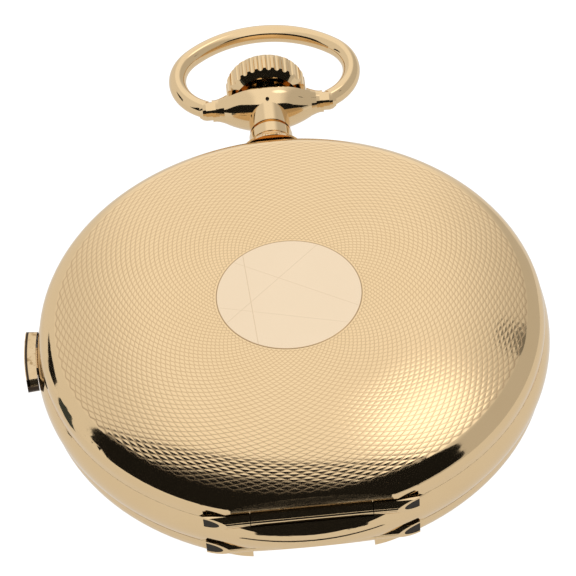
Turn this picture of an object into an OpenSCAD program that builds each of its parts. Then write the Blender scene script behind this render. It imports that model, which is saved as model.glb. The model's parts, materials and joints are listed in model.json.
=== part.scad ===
// Repeater pocket watch in a hunter case, in millimetres.
// The origin is on the axis of the case, at the flat rest disc of the front cover.
// +Z points out of the back cover, +Y to the pendant at 3 o'clock, and 6 o'clock is at -X.

/* [Case] */
// Radius of the flush joint between the band and each cover
case_r = 27.5; // [26.5:0.1:28.5]
// Bulge of the band beyond that radius
band_bulge = 0.56; // [0.3:0.02:0.8]
// Height of the band between the two covers
band_h = 4.1; // [3.9:0.05:4.4]
// Height of each cover above its joint
cover_h = 5; // [4.9:0.05:5.4]
// Thickness of the gold of a cover
cover_wall = 0.7; // [0.5:0.05:0.8]
// Radius of the flat round cartouche in the middle of a cover
cartouche_r = 7.98; // [6:0.1:10]
// Width of the steep polished border round the dome
border_w = 1.9; // [1.7:0.05:2.2]
// Fall of the dome from the cartouche to the border
dome_fall = 2.2; // [2:0.05:2.4]
// Height of the upright lip of a cover
lip_h = 0.72; // [0.6:0.02:0.8]
// Depth of the band from its joints in to its bore
band_depth = 3.3; // [3.2:0.05:3.5]
// Height of the snap ledge that each cover closes over
snap_h = 0.35; // [0.2:0.05:0.5]

/* [Cover hinges] */
// Distance of the hinge axes in from the joint radius
hinge_inset = 1.6; // [1.5:0.05:1.7]
// Radius of a hinge tube
tube_r = 0.88; // [0.8:0.02:0.92]
// Half length of a hinge tube
tube_half = 11.1; // [10:0.1:11.6]
// Half length of the middle knuckle
knuckle_half = 6.3; // [5:0.1:7]
// Radius of a hinge pin
pin_r = 0.6; // [0.4:0.02:0.65]
// Slope of the relief in front of a hinge tube, in degrees
relief_slope = 28; // [24:1:30]

/* [Pendant and bow] */
// Radius of the collar where it meets the band
collar_r = 4.1; // [3.6:0.1:4.6]
// Height of the edge of the collar above the joint radius
collar_rise = 2.5; // [2.3:0.1:2.7]
// Radius of the barrel under the head
neck_r = 2.4; // [2.3:0.05:2.5]
// Height of the foot of the barrel above the joint radius
head_rise = 4.8; // [4.7:0.05:5]
// Half depth of the boat-shaped head
head_half = 3; // [2.8:0.05:3.2]
// Half span of the head between the ends of the bow
arm_half = 6.6; // [6.4:0.1:6.8]
// Height of the bow pivot above the foot of the barrel
bow_pivot_rise = 4.7; // [4.6:0.05:4.8]
// Radius of the bow wire
bow_wire_r = 1.05; // [0.9:0.05:1.1]
// Radius of the round ends of the bow
bow_side_r = 5.6; // [5.3:0.1:5.8]
// Half distance between the centres of the round ends
bow_side_x = 4.9; // [4.7:0.1:5.1]
// Height of those centres above the foot of the barrel
bow_side_rise = 10.1; // [10:0.05:10.3]
// Height of the wire's centre line at the top of the bow above the foot of the barrel
bow_top_rise = 17.6; // [17.3:0.05:17.9]
// Bore of the pendant for the stem
pendant_bore_r = 1.1; // [0.9:0.05:1.3]

/* [Crown and winding] */
// Radius of the crown
crown_r = 4.75; // [4.4:0.05:5]
// Height of the crown
crown_len = 3.7; // [3.4:0.1:4.2]
// Height of the crown's lower edge above the foot of the barrel
crown_rise = 5.6; // [5.55:0.05:5.8]
// Number of flutes
flutes = 30; // [20:1:32]
// Radius of the winding stem
stem_r = 0.5; // [0.4:0.02:0.55]
// Travel of the stem inwards, to open the front cover
push_travel = 0.5; // [0.3:0.05:0.55]

/* [Repeater slide] */
// Length of the block along the band
slide_len = 8.2; // [6:0.1:9]
// How far the block stands out of the band
slide_out = 1.3; // [1:0.05:1.6]
// Height of the block
slide_h = 2; // [1.6:0.1:2.2]
// Travel round the band, in degrees
slide_travel = 22; // [15:1:24]

/* [Dial side] */
// Margin of the main plate round the dial
dial_margin = 0.2; // [0.1:0.05:1]
// Thickness of the dial
dial_t = 0.5; // [0.4:0.05:0.6]
// Height of the dial's lower face
dial_z = 4.25; // [4.1:0.05:4.3]
// Overlap of the crystal's rim over the edge of the main plate
crystal_margin = 0.2; // [0:0.05:0.4]
// Thickness of the crystal
crystal_t = 0.5; // [0.4:0.05:0.6]

/* [Movement] */
// Space between the main plate and the bore of the band
plate_gap = 2.1; // [2:0.05:2.4]
// Height of the main plate's lower face
plate_z = 6.05; // [6:0.05:6.1]
// Height of the main plate's upper face
plate_top_z = 7.35; // [7.3:0.05:7.4]
// Height of the lower face of the bridges
bridge_z = 9.4; // [9.35:0.05:9.45]
// Thickness of the bridges
bridge_t = 0.8; // [0.7:0.05:0.85]
// Distance of the gongs' centre line out from the main plate
gong_gap = 0.7; // [0.6:0.05:0.8]
// Radius of the gong wire
gong_wire_r = 0.22; // [0.18:0.02:0.24]
// Radius of the balance wheel as a share of the main plate's
balance_share = 0.2715; // [0.25:0.0005:0.28]

/* [Hidden] */
$fn = 96;

// Clearances
run = 0.04;
slip = 0.07;
seat = 0.03;

// Levels and places of the case
dome_r = case_r - border_w;
band_bore_r = case_r - band_depth;
hinge_y = case_r - hinge_inset;
collar_top_y = case_r + collar_rise;
head_y = case_r + head_rise;
bow_pivot_y = head_y + bow_pivot_rise;
bow_side_y = head_y + bow_side_rise;
bow_top_y = head_y + bow_top_rise;
crown_y = head_y + crown_rise;
plate_r = band_bore_r - plate_gap;
dial_r = plate_r - dial_margin;
crystal_r = plate_r + crystal_margin;
gong_r = plate_r + gong_gap;
balance_r = plate_r * balance_share;
front_seam_z = cover_h;
back_seam_z = cover_h + band_h;
mid_z = (front_seam_z + back_seam_z) / 2;
total_h = 2 * cover_h + band_h;
dome_arc_r = ((dome_r - cartouche_r) ^ 2 + dome_fall ^ 2) / (2 * dome_fall);
dome_edge_h = cover_h - dome_fall;
dome_edge_slope = asin((dome_r - cartouche_r) / dome_arc_r);

// The border turns down in two arcs that run on smoothly from the dome into the lip
border_turn = 40;
border_rise = dome_edge_h - lip_h;
turn_w = sin(border_turn) - sin(dome_edge_slope);
turn_h = cos(dome_edge_slope) - cos(border_turn);
border_det = turn_w * cos(border_turn) - turn_h * (1 - sin(border_turn));
shoulder_r = (border_w * cos(border_turn) - border_rise * (1 - sin(border_turn))) / border_det;
border_arc_r = (turn_w * border_rise - turn_h * border_w) / border_det;
shoulder_at = [dome_r - shoulder_r * sin(dome_edge_slope), dome_edge_h - shoulder_r * cos(dome_edge_slope)];
band_arc_r = ((band_h / 2) ^ 2 + band_bulge ^ 2) / (2 * band_bulge);
band_r = case_r + band_bulge;
tube_trim_r = band_r + 0.1;
rim_cut_y = hinge_y - tube_r - slip;
groove_r = tube_r + slip;
web_out = 0.1;
web_in_y = rim_cut_y - 0.35;
snap_w = 0.6;
snap_r = case_r - cover_wall - slip;
gold = [0.91, 0.79, 0.56];
pale_gold = [0.93, 0.84, 0.66];
steel = [0.62, 0.63, 0.65];
dark_steel = [0.25, 0.25, 0.27];
blued = [0.12, 0.16, 0.4];
brass = [0.84, 0.68, 0.36];
nickel = [0.8, 0.8, 0.77];

// Cuvette
cuvette_r = band_bore_r - 0.2;
cuvette_seat_r = band_bore_r + 0.6;
cuvette_t = 0.45;
cuvette_hinge_y = cuvette_r - 0.1;
cuvette_hinge_z = back_seam_z + 0.35;
cuvette_tube_r = 0.55;
cuvette_tube_half = 4;
cuvette_knuckle_half = 1.5;
cuvette_pin_r = 0.3;
cuvette_side_h = 1.5;
cuvette_rise = 1.55;

// Gear places. Directions are in degrees about +Z from +X, and places grow with the main plate
drawn_plate_r = 22.1;
grow = plate_r / drawn_plate_r;
barrel_dist = 9.6 * grow;
barrel_dir = 30;
train_dist = 11.5 * grow;
center_third_dist = 7.2 * grow;
third_fourth_dist = 6.375 * grow;
escape_dist = 5.06 * grow;
escape_dir = -98;
balance_dir = -62;
escape_balance_dist = 7.4 * grow;
pallet_dist = 3.2 * grow;
crown_wheel_y = 14.2 * grow;
strike_m = 0.2;
strike_rack_n = round(2 * (band_bore_r - 1.9) / strike_m);
strike_wheel_n = round(53 * grow);
strike_dist = (strike_rack_n - strike_wheel_n) * strike_m / 2;
strike_dir = 150;
governor_dir = 36.87;
snail_dir = -50;
minute_dir = 60;
function polar(r, a) = [r * cos(a), r * sin(a)];
barrel_at = polar(barrel_dist, barrel_dir);
fourth_at = [-train_dist, 0];
third_x = -(center_third_dist ^ 2 - third_fourth_dist ^ 2 + train_dist ^ 2) / (2 * train_dist);
third_at = [third_x, -sqrt(center_third_dist ^ 2 - third_x ^ 2)];
escape_at = fourth_at + polar(escape_dist, escape_dir);
balance_at = escape_at + polar(escape_balance_dist, balance_dir);
pallet_at = escape_at + polar(pallet_dist, balance_dir);
crown_wheel_at = [0, crown_wheel_y];
strike_at = polar(strike_dist, strike_dir);
function dir_of(a, b) = atan2(b[1] - a[1], b[0] - a[0]);

// Teeth of the going train: each wheel drives the pinion named after it
barrel_n = 80;
center_pinion_n = 12;
center_n = 80;
third_pinion_n = 10;
third_n = 75;
fourth_pinion_n = 10;
fourth_n = 80;
escape_pinion_n = 8;
escape_n = 15;

// A wheel of n_b teeth at direction d from a wheel of n_a teeth whose tooth stands at angle p
function mate(p, n_a, d, n_b) = d + 180 - (p - d) * n_a / n_b + 180 / n_b;
function module_of(dist, n_a, n_b) = 2 * dist / (n_a + n_b);
barrel_m = module_of(barrel_dist, barrel_n, center_pinion_n);
center_m = module_of(center_third_dist, center_n, third_pinion_n);
third_m = module_of(third_fourth_dist, third_n, fourth_pinion_n);
fourth_m = module_of(escape_dist, fourth_n, escape_pinion_n);
minute_n = 36;
cannon_n = 12;
minute_pinion_n = 10;
hour_n = 40;
minute_dist = 3.6 * grow;
cannon_m = module_of(minute_dist, cannon_n, minute_n);
hour_m = module_of(minute_dist, minute_pinion_n, hour_n);
minute_at = polar(minute_dist, minute_dir);
snail_dist = 6.4 * grow;
snail_at = polar(snail_dist, snail_dir);
governor_n = 10;
governor_dist = (strike_wheel_n + governor_n) * strike_m / 2;
governor_at = strike_at + polar(governor_dist, governor_dir);
crown_spur_n = 50;
ratchet_n = 75;
ratchet_dist = norm(barrel_at - crown_wheel_at);
ratchet_m = module_of(ratchet_dist, ratchet_n, crown_spur_n);
contrate_n = 24;
winding_n = 12;
contrate_r = 3.2 * grow;

// Levels of the movement
bridge_top_z = bridge_z + bridge_t;
ratchet_z = bridge_top_z + 0.05;
ratchet_t = 0.3;
arbor_r = 0.25;
wheel_t = 0.2;
barrel_low_z = plate_top_z + 0.1;
barrel_top_z = 8.35;
center_wheel_z = 9.05;
third_wheel_z = 8.55;
fourth_wheel_z = 7.6;
escape_wheel_z = 8.8;
pallet_z = 8.8;
pallet_bridge_z = 9.1;
pallet_bridge_t = 0.35;
balance_z = 9.75;
roller_z = balance_z - 0.4;
spring_z = 10.15;
cock_z = 10.35;
cock_t = 0.45;
hour_hand_z = 3.5;
minute_hand_z = 2.95;
seconds_hand_z = 3.95;
hand_t = 0.14;
seconds_t = 0.1;
plate_flange_r = band_bore_r - 0.8;
plate_flange_z = 6.15;
plate_flange_t = 0.6;
seat_flange_r = plate_r + 0.2;
seat_flange_z = 5.5;
seat_flange_t = 0.62;
case_screw_r = plate_flange_r - 0.5;
case_screw_dirs = [35, 215];

// Teeth stand on a root circle and taper to a tip circle, with backlash at the sides
function gear_points(n, m) = [for (i = [0 : n - 1], k = [0 : 3])
    polar(n * m / 2 + m * [-1.15, 0.85, 0.85, -1.15][k], 360 / n * (i + [-0.29, -0.12, 0.12, 0.29][k]))];

module gear(n, m, h) {
    linear_extrude(h) polygon(gear_points(n, m));
}

module wheel(n, m, h, arms = 5) {
    rim_r = n * m / 2 - 2.6 * m;
    hub_r = rim_r * 0.24;
    linear_extrude(h) difference() {
        polygon(gear_points(n, m));
        difference() {
            circle(rim_r);
            circle(hub_r);
            for (i = [0 : arms - 1])
                rotate(i * 360 / arms) translate([0, -rim_r * 0.07]) square([rim_r, rim_r * 0.14]);
        }
    }
}

module rod(r, z0, z1) {
    translate([0, 0, z0]) cylinder(r = r, h = z1 - z0, $fn = 48);
}

module ring(r_out, r_in, z0, z1) {
    translate([0, 0, z0]) difference() {
        cylinder(r = r_out, h = z1 - z0);
        translate([0, 0, -1]) cylinder(r = r_in, h = z1 - z0 + 2);
    }
}

module at(p) {
    translate([p[0], p[1], 0]) children();
}

module along_x(x0, x1, y, z, r) {
    translate([x0, y, z]) rotate([0, 90, 0]) cylinder(r = r, h = x1 - x0, $fn = 64);
}

module along_y(r, y0, y1) {
    translate([0, y0, mid_z]) rotate([-90, 0, 0]) cylinder(r = r, h = y1 - y0, $fn = 64);
}

module turned_on_y(points) {
    translate([0, 0, mid_z]) rotate([-90, 0, 0]) rotate_extrude() polygon(points);
}

module both_sides() {
    children();
    mirror([1, 0, 0]) children();
}

// Half section of a cover, with its joint at zero height
module cover_outline(inset) {
    border_c = case_r - border_arc_r;
    dome_end = dome_r - inset * sin(dome_edge_slope);
    shoulder_end = border_c + (border_arc_r - inset) * sin(border_turn);
    intersection() {
        union() {
            square([cartouche_r, cover_h - inset]);
            translate([cartouche_r, cover_h - dome_arc_r]) circle(dome_arc_r - inset, $fn = 240);
        }
        union() {
            square([dome_end, cover_h]);
            translate(shoulder_at) circle(shoulder_r - inset);
        }
        union() {
            square([shoulder_end, cover_h]);
            translate([border_c, lip_h]) circle(border_arc_r - inset);
            square([case_r - inset, lip_h]);
        }
        square([case_r, cover_h]);
    }
}

module cover_solid(inset) {
    rotate_extrude($fn = 180) cover_outline(inset);
}

module cover_shell() {
    difference() {
        cover_solid(0);
        rotate_extrude($fn = 180) cover_outline(cover_wall);
        translate([0, 0, -1]) cylinder(r = case_r - cover_wall, h = 1.5);
        translate([0, 0, -1]) cylinder(r = case_r + 1, h = 1 + seat);
    }
}

// A cover standing on its joint at zero height, hinged at -Y. The knuckle lies between x0 and x1
module hinged_cover(x0, x1, mirrored) {
    difference() {
        union() {
            difference() {
                cover_shell();
                translate([-case_r, -case_r - 1, -1]) cube([2 * case_r, case_r + 1 - rim_cut_y, cover_h + 2]);
            }
            hinge_part(x0, x1);
            if (mirrored) mirror([1, 0, 0]) hinge_part(x0, x1);
        }
        along_x(-case_r, case_r, -hinge_y, 0, pin_r + run);
    }
}

module hinge_part(x0, x1) {
    intersection() {
        union() {
            intersection() {
                cover_solid(0);
                translate([x0, -hinge_y - web_out, seat])
                    cube([x1 - x0, hinge_y + web_out - web_in_y, cover_h]);
            }
            along_x(x0, x1, -hinge_y, 0, tube_r);
        }
        translate([0, 0, -cover_h]) cylinder(r = tube_trim_r, h = 2 * cover_h, $fn = 180);
    }
}

module back_cover() color(gold) {
    translate([0, 0, back_seam_z]) hinged_cover(-knuckle_half + run, knuckle_half - run, false);
}

module front_cover() color(gold) {
    translate([0, 0, front_seam_z]) mirror([0, 0, 1]) hinged_cover(knuckle_half + run, tube_half, true);
}

module band_section() {
    intersection() {
        translate([band_r - band_arc_r, mid_z]) circle(band_arc_r);
        translate([band_bore_r, front_seam_z]) square([band_r, band_h]);
    }
    translate([band_bore_r, front_seam_z]) square([band_r - 2 * band_bulge - band_bore_r, band_h]);
    translate([snap_r - snap_w, front_seam_z - snap_h]) square([snap_w, band_h + 2 * snap_h]);
    translate([seat_flange_r, seat_flange_z]) square([band_bore_r - seat_flange_r + 1, seat_flange_t]);
}

module band_relief() {
    rotate([relief_slope, 0, 0]) translate([-case_r / 2, -5, 0]) cube([case_r, 5, 5]);
    translate([-tube_half - 3, -5, 0]) cube([2 * tube_half + 6, 5 + hinge_y - web_in_y + slip, 3]);
}

module case_band() color(gold) {
    outer_groove = tube_half + 2;
    difference() {
        union() {
            difference() {
                rotate_extrude($fn = 180) band_section();
                translate([0, -hinge_y, back_seam_z]) band_relief();
                translate([0, -hinge_y, front_seam_z]) mirror([0, 0, 1]) band_relief();
                along_x(-knuckle_half, knuckle_half, -hinge_y, back_seam_z, groove_r);
                both_sides() along_x(knuckle_half, outer_groove, -hinge_y, front_seam_z, groove_r);
            }
            intersection() {
                union() {
                    both_sides() along_x(knuckle_half + run, tube_half, -hinge_y, back_seam_z, tube_r);
                    along_x(-knuckle_half + run, knuckle_half - run, -hinge_y, front_seam_z, tube_r);
                    both_sides() along_x(cuvette_knuckle_half + run, cuvette_tube_half, -cuvette_hinge_y,
                        cuvette_hinge_z, cuvette_tube_r);
                }
                cylinder(r = tube_trim_r, h = total_h, $fn = 180);
            }
        }
        along_x(-case_r, case_r, -hinge_y, back_seam_z, pin_r);
        along_x(-case_r, case_r, -hinge_y, front_seam_z, pin_r);
        along_x(-cuvette_tube_half - 1, cuvette_tube_half + 1, -cuvette_hinge_y, cuvette_hinge_z,
            cuvette_pin_r);
        along_x(-cuvette_knuckle_half, cuvette_knuckle_half, -cuvette_hinge_y, cuvette_hinge_z,
            cuvette_tube_r + slip);
        along_y(stem_r + 0.3, band_bore_r - 3, band_r + 2);
        slide_slot();
        for (a = case_screw_dirs)
            rotate(a) translate([case_screw_r, 0, seat_flange_z - 1]) cylinder(r = screw_r, h = 2, $fn = 32);
    }
}

module trimmed_pin(y, z) {
    intersection() {
        along_x(-case_r, case_r, -y, z, pin_r);
        cylinder(r = tube_trim_r - 0.02, h = total_h, $fn = 180);
        translate([-tube_half, -case_r - 2, 0]) cube([2 * tube_half, case_r, total_h]);
    }
}

module back_hinge_pin() color(dark_steel) {
    trimmed_pin(hinge_y, back_seam_z);
}

module front_hinge_pin() color(dark_steel) {
    trimmed_pin(hinge_y, front_seam_z);
}

module cuvette_section(t) {
    side = cuvette_side_h - t;
    rise = cuvette_rise;
    arc_r = ((cuvette_r - 1) ^ 2 + rise ^ 2) / (2 * rise);
    intersection() {
        translate([0, side + 0.6 + rise - arc_r]) circle(arc_r, $fn = 240);
        union() {
            square([cuvette_r - t - 0.6, side + 0.6 + rise]);
            square([cuvette_r - t, side]);
            translate([cuvette_r - t - 0.6, side]) circle(0.6, $fn = 48);
        }
        square([cuvette_r, side + 1 + rise]);
    }
}

// Thin inner cover over the movement
module cuvette() color(pale_gold) {
    low = back_seam_z + seat;
    cut_y = cuvette_hinge_y - cuvette_tube_r - slip;
    translate([0, 0, low]) difference() {
        union() {
            difference() {
                union() {
                    rotate_extrude($fn = 180) cuvette_section(0);
                    cylinder(r = cuvette_seat_r, h = 0.3);
                }
                translate([0, 0, -0.01]) rotate_extrude($fn = 180) cuvette_section(cuvette_t);
                translate([-cuvette_r, -cuvette_r - 2, -1]) cube([2 * cuvette_r, cuvette_r + 2 - cut_y, 5]);
            }
            intersection() {
                difference() {
                    rotate_extrude($fn = 180) cuvette_section(0);
                    translate([0, 0, -1]) cylinder(r = cuvette_r - 2, h = 3.1);
                }
                translate([-cuvette_knuckle_half + run, -cuvette_hinge_y, 0])
                    cube([2 * cuvette_knuckle_half - 2 * run, 1.6, 3]);
            }
            along_x(-cuvette_knuckle_half + run, cuvette_knuckle_half - run, -cuvette_hinge_y,
                cuvette_hinge_z - low, cuvette_tube_r);
        }
        along_x(-cuvette_tube_half, cuvette_tube_half, -cuvette_hinge_y, cuvette_hinge_z - low,
            cuvette_pin_r + run);
    }
}

module cuvette_pin() color(steel) {
    along_x(-cuvette_tube_half, cuvette_tube_half, -cuvette_hinge_y, cuvette_hinge_z, cuvette_pin_r);
}

// Ring under the front cover that holds the crystal
bezel_z = 2.95;
bezel_in_r = crystal_r - 0.9;
module bezel() color(gold) {
    rotate_extrude($fn = 180) difference() {
        translate([bezel_in_r, bezel_z]) square([band_bore_r - slip - bezel_in_r, seat_flange_z - bezel_z]);
        translate([bezel_in_r - 1, bezel_z + 0.4])
            square([crystal_r + seat + 1 - bezel_in_r, crystal_t + 0.02]);
        translate([bezel_in_r - 1, dial_z - 0.3]) square([plate_r + 1.15 - bezel_in_r, 3]);
        translate([band_bore_r, bezel_z - 0.1]) rotate(45) square([0.9, 0.9], center = true);
    }
}

crystal_side_r = crystal_r - 1.1;
crystal_side_h = 1.15;
crystal_rise = 0.75;
crystal_edge_z = bezel_z + 0.4;
module crystal_section(t) {
    arc_r = ((crystal_side_r - 0.7) ^ 2 + crystal_rise ^ 2) / (2 * crystal_rise);
    top = crystal_side_h + crystal_rise + crystal_t - t;
    intersection() {
        translate([0, top - arc_r]) circle(arc_r, $fn = 360);
        union() {
            square([crystal_side_r - t - 0.4, top]);
            square([crystal_side_r - t, crystal_side_h]);
            translate([crystal_side_r - t - 0.4, crystal_side_h]) circle(0.4, $fn = 48);
        }
        square([crystal_side_r, top]);
    }
}

module crystal() color([0.85, 0.9, 0.95, 0.35]) {
    translate([0, 0, crystal_edge_z + crystal_t]) mirror([0, 0, 1]) difference() {
        union() {
            rotate_extrude($fn = 180) crystal_section(0);
            cylinder(r = crystal_r, h = crystal_t, $fn = 180);
        }
        translate([0, 0, -0.001]) rotate_extrude($fn = 180) crystal_section(crystal_t);
    }
}

// Collar and ring that rise from the band to the foot of the barrel
module pendant_collar() color(gold) {
    ring_r = neck_r + 0.15;
    neck_groove_r = neck_r - 0.45;
    base_y = band_r - 1.2;
    ring_top_y = head_y - 0.45;
    difference() {
        turned_on_y([[0, base_y], [collar_r + 0.5, base_y], [collar_r, band_r + 0.1],
            [collar_r - 0.6, band_r + 0.7], [collar_r - 1.05, collar_top_y - 0.5],
            [collar_r - 1.25, collar_top_y - 0.1], [collar_r - 1.35, collar_top_y],
            [ring_r - 0.15, collar_top_y], [ring_r - 0.15, collar_top_y + 0.12],
            [ring_r, collar_top_y + 0.25], [ring_r, ring_top_y - 0.15], [ring_r - 0.15, ring_top_y],
            [neck_groove_r, ring_top_y], [neck_groove_r, head_y], [0, head_y]]);
        translate([0, 0, mid_z]) rotate_extrude($fn = 180)
            translate([0, -band_h]) intersection() {
                translate([band_r - band_arc_r, band_h]) circle(band_arc_r + 0.005);
                square([band_r + 1, 2 * band_h]);
            }
        translate([0, 0, -1]) cylinder(r = case_r + 0.12, h = total_h + 2, $fn = 180);
        along_y(pendant_bore_r, base_y - 1, head_y + 1);
    }
}

// Barrel and boat-shaped head; the crown comes down to a shelf on it, and its tips hold the ends of the bow
tip_x = 5.2;
tip_root_r = 1.6;
tip_r = bow_wire_r + 0.25;
tip_top = 0.9;
tip_cup = 0.15;
shelf_gap = 0.2;
bow_end_r = bow_wire_r + 0.05;
head_arc_r = (tip_x ^ 2 + (head_half - tip_root_r) ^ 2) / (2 * (head_half - tip_root_r));

module pendant_head() color(gold) {
    shelf_y = crown_y - push_travel - shelf_gap;
    difference() {
        union() {
            along_y(neck_r, head_y, bow_pivot_y);
            translate([0, bow_pivot_y, mid_z]) rotate([0, 90, 0]) rotate_extrude($fn = 96) intersection() {
                translate([head_half - head_arc_r, 0]) circle(head_arc_r, $fn = 360);
                translate([0, -tip_x]) square([head_half + 1, 2 * tip_x]);
            }
            both_sides() translate([0, bow_pivot_y, mid_z]) rotate([0, 90, 0])
                rotate_extrude($fn = 96) polygon([[0, tip_x - 1], [tip_root_r, tip_x - 1], [tip_root_r, tip_x],
                    [tip_r + 0.08, tip_x + 0.6], [tip_r, tip_x + 1], [tip_r, arm_half], [0, arm_half]]);
        }
        along_y(crown_r + 0.3, shelf_y, shelf_y + 5);
        translate([-arm_half - 1, bow_pivot_y + tip_top, 0]) cube([2 * arm_half + 2, 5, total_h]);
        along_y(pendant_bore_r, head_y - 1, shelf_y + 1);
        both_sides() {
            along_x(arm_half - bow_pin_len - 0.1, arm_half + 1, bow_pivot_y, mid_z, bow_pin_r + run);
            along_x(arm_half - tip_cup, arm_half + 1, bow_pivot_y, mid_z, bow_end_r + run);
        }
        translate([0, head_pin_y, mid_z + head_pin_in]) cylinder(r = head_pin_r, h = 4, $fn = 32);
    }
}
bow_pin_len = 1.4;
bow_pin_r = 0.55;
head_pin_r = 0.22;
head_pin_y = head_y + 3.2;
head_pin_in = 1.6;
head_pin_out = sqrt(head_half ^ 2 - (bow_pivot_y - head_pin_y) ^ 2) - 0.1;

module pendant_pin() color(dark_steel) {
    translate([0, head_pin_y, mid_z + head_pin_in])
        cylinder(r = head_pin_r, h = head_pin_out - head_pin_in, $fn = 32);
}

// Oval bow: a shallow top arc between two round ends that turn in to the head
bow_top_c = bow_top_centre(bow_top_y, bow_side_r, bow_side_x, bow_side_y);
function bow_top_centre(top, r, x, y) = (top ^ 2 - 2 * top * r + r ^ 2 - x ^ 2 - y ^ 2) / (2 * (top - r - y));
bow_top_r = bow_top_y - bow_top_c;
bow_join = atan2(bow_side_y - bow_top_c, bow_side_x);
bow_end_dir = -64;
bow_end_x = bow_side_x + bow_side_r * cos(bow_end_dir);

module bow_arc(cx, cy, r, a0, a1, wire = bow_wire_r) {
    translate([cx, cy, mid_z]) rotate(a0)
        rotate_extrude(angle = a1 - a0, $fn = 96) translate([r, 0]) circle(wire, $fn = 32);
}

module bow() color(gold) {
    bow_arc(0, bow_top_c, bow_top_r, bow_join, 180 - bow_join);
    both_sides() {
        bow_arc(bow_side_x, bow_side_y, bow_side_r, bow_end_dir, bow_join);
        bow_arc(0, bow_top_c, bow_top_r, bow_join - 4, bow_join + 4, bow_wire_r * 0.8);
        translate([0, bow_pivot_y, mid_z]) rotate([0, 90, 0]) rotate_extrude($fn = 64)
            polygon([[0, arm_half - tip_cup + seat], [bow_end_r, arm_half - tip_cup + seat],
                [bow_end_r, bow_end_x], [bow_end_r - 0.1, bow_end_x + 0.4], [bow_end_r - 0.4, bow_end_x + 0.8],
                [0, bow_end_x + 0.9]]);
        along_x(arm_half - bow_pin_len, arm_half + 0.3, bow_pivot_y, mid_z, bow_pin_r);
    }
}

crown_wall = 1;
module crown() color(gold) {
    top_y = crown_y + crown_len;
    dome_y = top_y - 0.9;
    hollow_y = crown_y + 1.2;
    difference() {
        turned_on_y([[stem_r, hollow_y], [3.2, hollow_y], [3.2, crown_y], [crown_r - 0.9, crown_y],
            [crown_r, crown_y + 0.7], [crown_r, dome_y], [crown_r - 0.15, dome_y + 0.35],
            [crown_r - 0.6, top_y - 0.25], [crown_r - 1.8, top_y - 0.08], [0, top_y],
            [0, top_y - crown_wall], [stem_r, top_y - crown_wall]]);
        for (i = [0 : flutes - 1])
            translate([0, crown_y - 1, mid_z]) rotate([-90, 0, 0]) rotate(i * 360 / flutes)
                translate([crown_r + 0.12, 0, 0]) cylinder(r = 0.36, h = crown_len + 0.55, $fn = 24);
    }
}

stem_in_y = crown_wheel_y - 0.6;
module winding_stem() color(steel) {
    along_y(stem_r, stem_in_y, crown_y + crown_len - crown_wall);
    along_y(0.75, head_y - 1.6, head_y - 1);
}

// Ring that carries the stem in and out but lets it turn
module stem_collar() color(steel) {
    difference() {
        along_y(pendant_bore_r - run, head_y - 3, head_y);
        along_y(stem_r + run, head_y - 4, head_y + 1);
        along_y(0.75 + run, head_y - 1.6 - run, head_y - 1 + run);
    }
}

winding_r = winding_n * contrate_r / contrate_n;
contrate_z = 8.95;
module winding_pinion() color(steel) {
    y0 = crown_wheel_y + contrate_r - 0.3;
    tooth = 2 * winding_r / winding_n;
    difference() {
        union() {
            translate([0, y0, mid_z]) rotate([-90, 0, 0]) rotate(180 / winding_n + 90)
                gear(winding_n, tooth, 0.6);
            along_y(winding_r * 0.8, y0 - 0.5, y0 + 0.9);
        }
        along_y(stem_r + run, 0, band_r);
    }
}

module crown_wheel() color(steel) {
    tooth_w = 0.3 * 2 * PI * contrate_r / contrate_n;
    at(crown_wheel_at) {
        rod(contrate_r + 0.4, contrate_z, contrate_z + 0.4);
        rod(crown_hub_r, contrate_z, ratchet_z + ratchet_t);
        for (i = [0 : contrate_n - 1])
            rotate(90 + i * 360 / contrate_n)
                translate([contrate_r - 0.3, -tooth_w / 2, contrate_z - 0.35]) cube([0.6, tooth_w, 0.36]);
        translate([0, 0, ratchet_z]) rotate(crown_phase) gear(crown_spur_n, ratchet_m, ratchet_t);
    }
}
crown_hub_r = 1.2;
ratchet_arbor_r = 0.9;
crown_phase = dir_of(crown_wheel_at, barrel_at);

module ratchet_wheel() color(steel) {
    at(barrel_at) {
        translate([0, 0, ratchet_z])
            rotate(mate(crown_phase, crown_spur_n, crown_phase, ratchet_n))
                gear(ratchet_n, ratchet_m, ratchet_t);
        rod(ratchet_arbor_r, plate_top_z - 0.5, ratchet_z + ratchet_t);
        rod(1.5, ratchet_z, ratchet_z + ratchet_t + 0.15);
    }
}

module click() color(steel) {
    click_at = barrel_at + polar(ratchet_n * ratchet_m / 2 + 1.35, -62);
    click_dir = 62;
    at(click_at) {
        rod(0.7, bridge_top_z + 0.02, ratchet_z + ratchet_t);
        rod(0.45, bridge_top_z + 0.02, ratchet_z + ratchet_t + 0.15);
        translate([0, 0, ratchet_z]) linear_extrude(ratchet_t)
            rotate(click_dir) polygon([[0, -0.5], [2.3, -0.1], [2.2, 0.12], [0, 0.5]]);
    }
}

// Slide block outside the band, its neck through the slot, and the toothed rack inside
slide_neck_half = 3;
slide_slot_h = 1.2;
rack_z = 6.85;
rack_t = 0.5;
rack_floor_z = rack_z - 0.12;
rack_r = strike_rack_n * strike_m / 2;
module slide_slot() {
    from = 180 - slide_travel - slide_neck_half - 1;
    rotate(from) rotate_extrude(angle = slide_travel + 2 * slide_neck_half + 2)
        translate([band_bore_r - 0.5, mid_z - slide_slot_h / 2]) square([5, slide_slot_h]);
}

module arc_bar(r_in, r_out, a0, a1, z0, z1) {
    rotate(a0) rotate_extrude(angle = a1 - a0, $fn = 180)
        translate([r_in, z0]) square([r_out - r_in, z1 - z0]);
}

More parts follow.
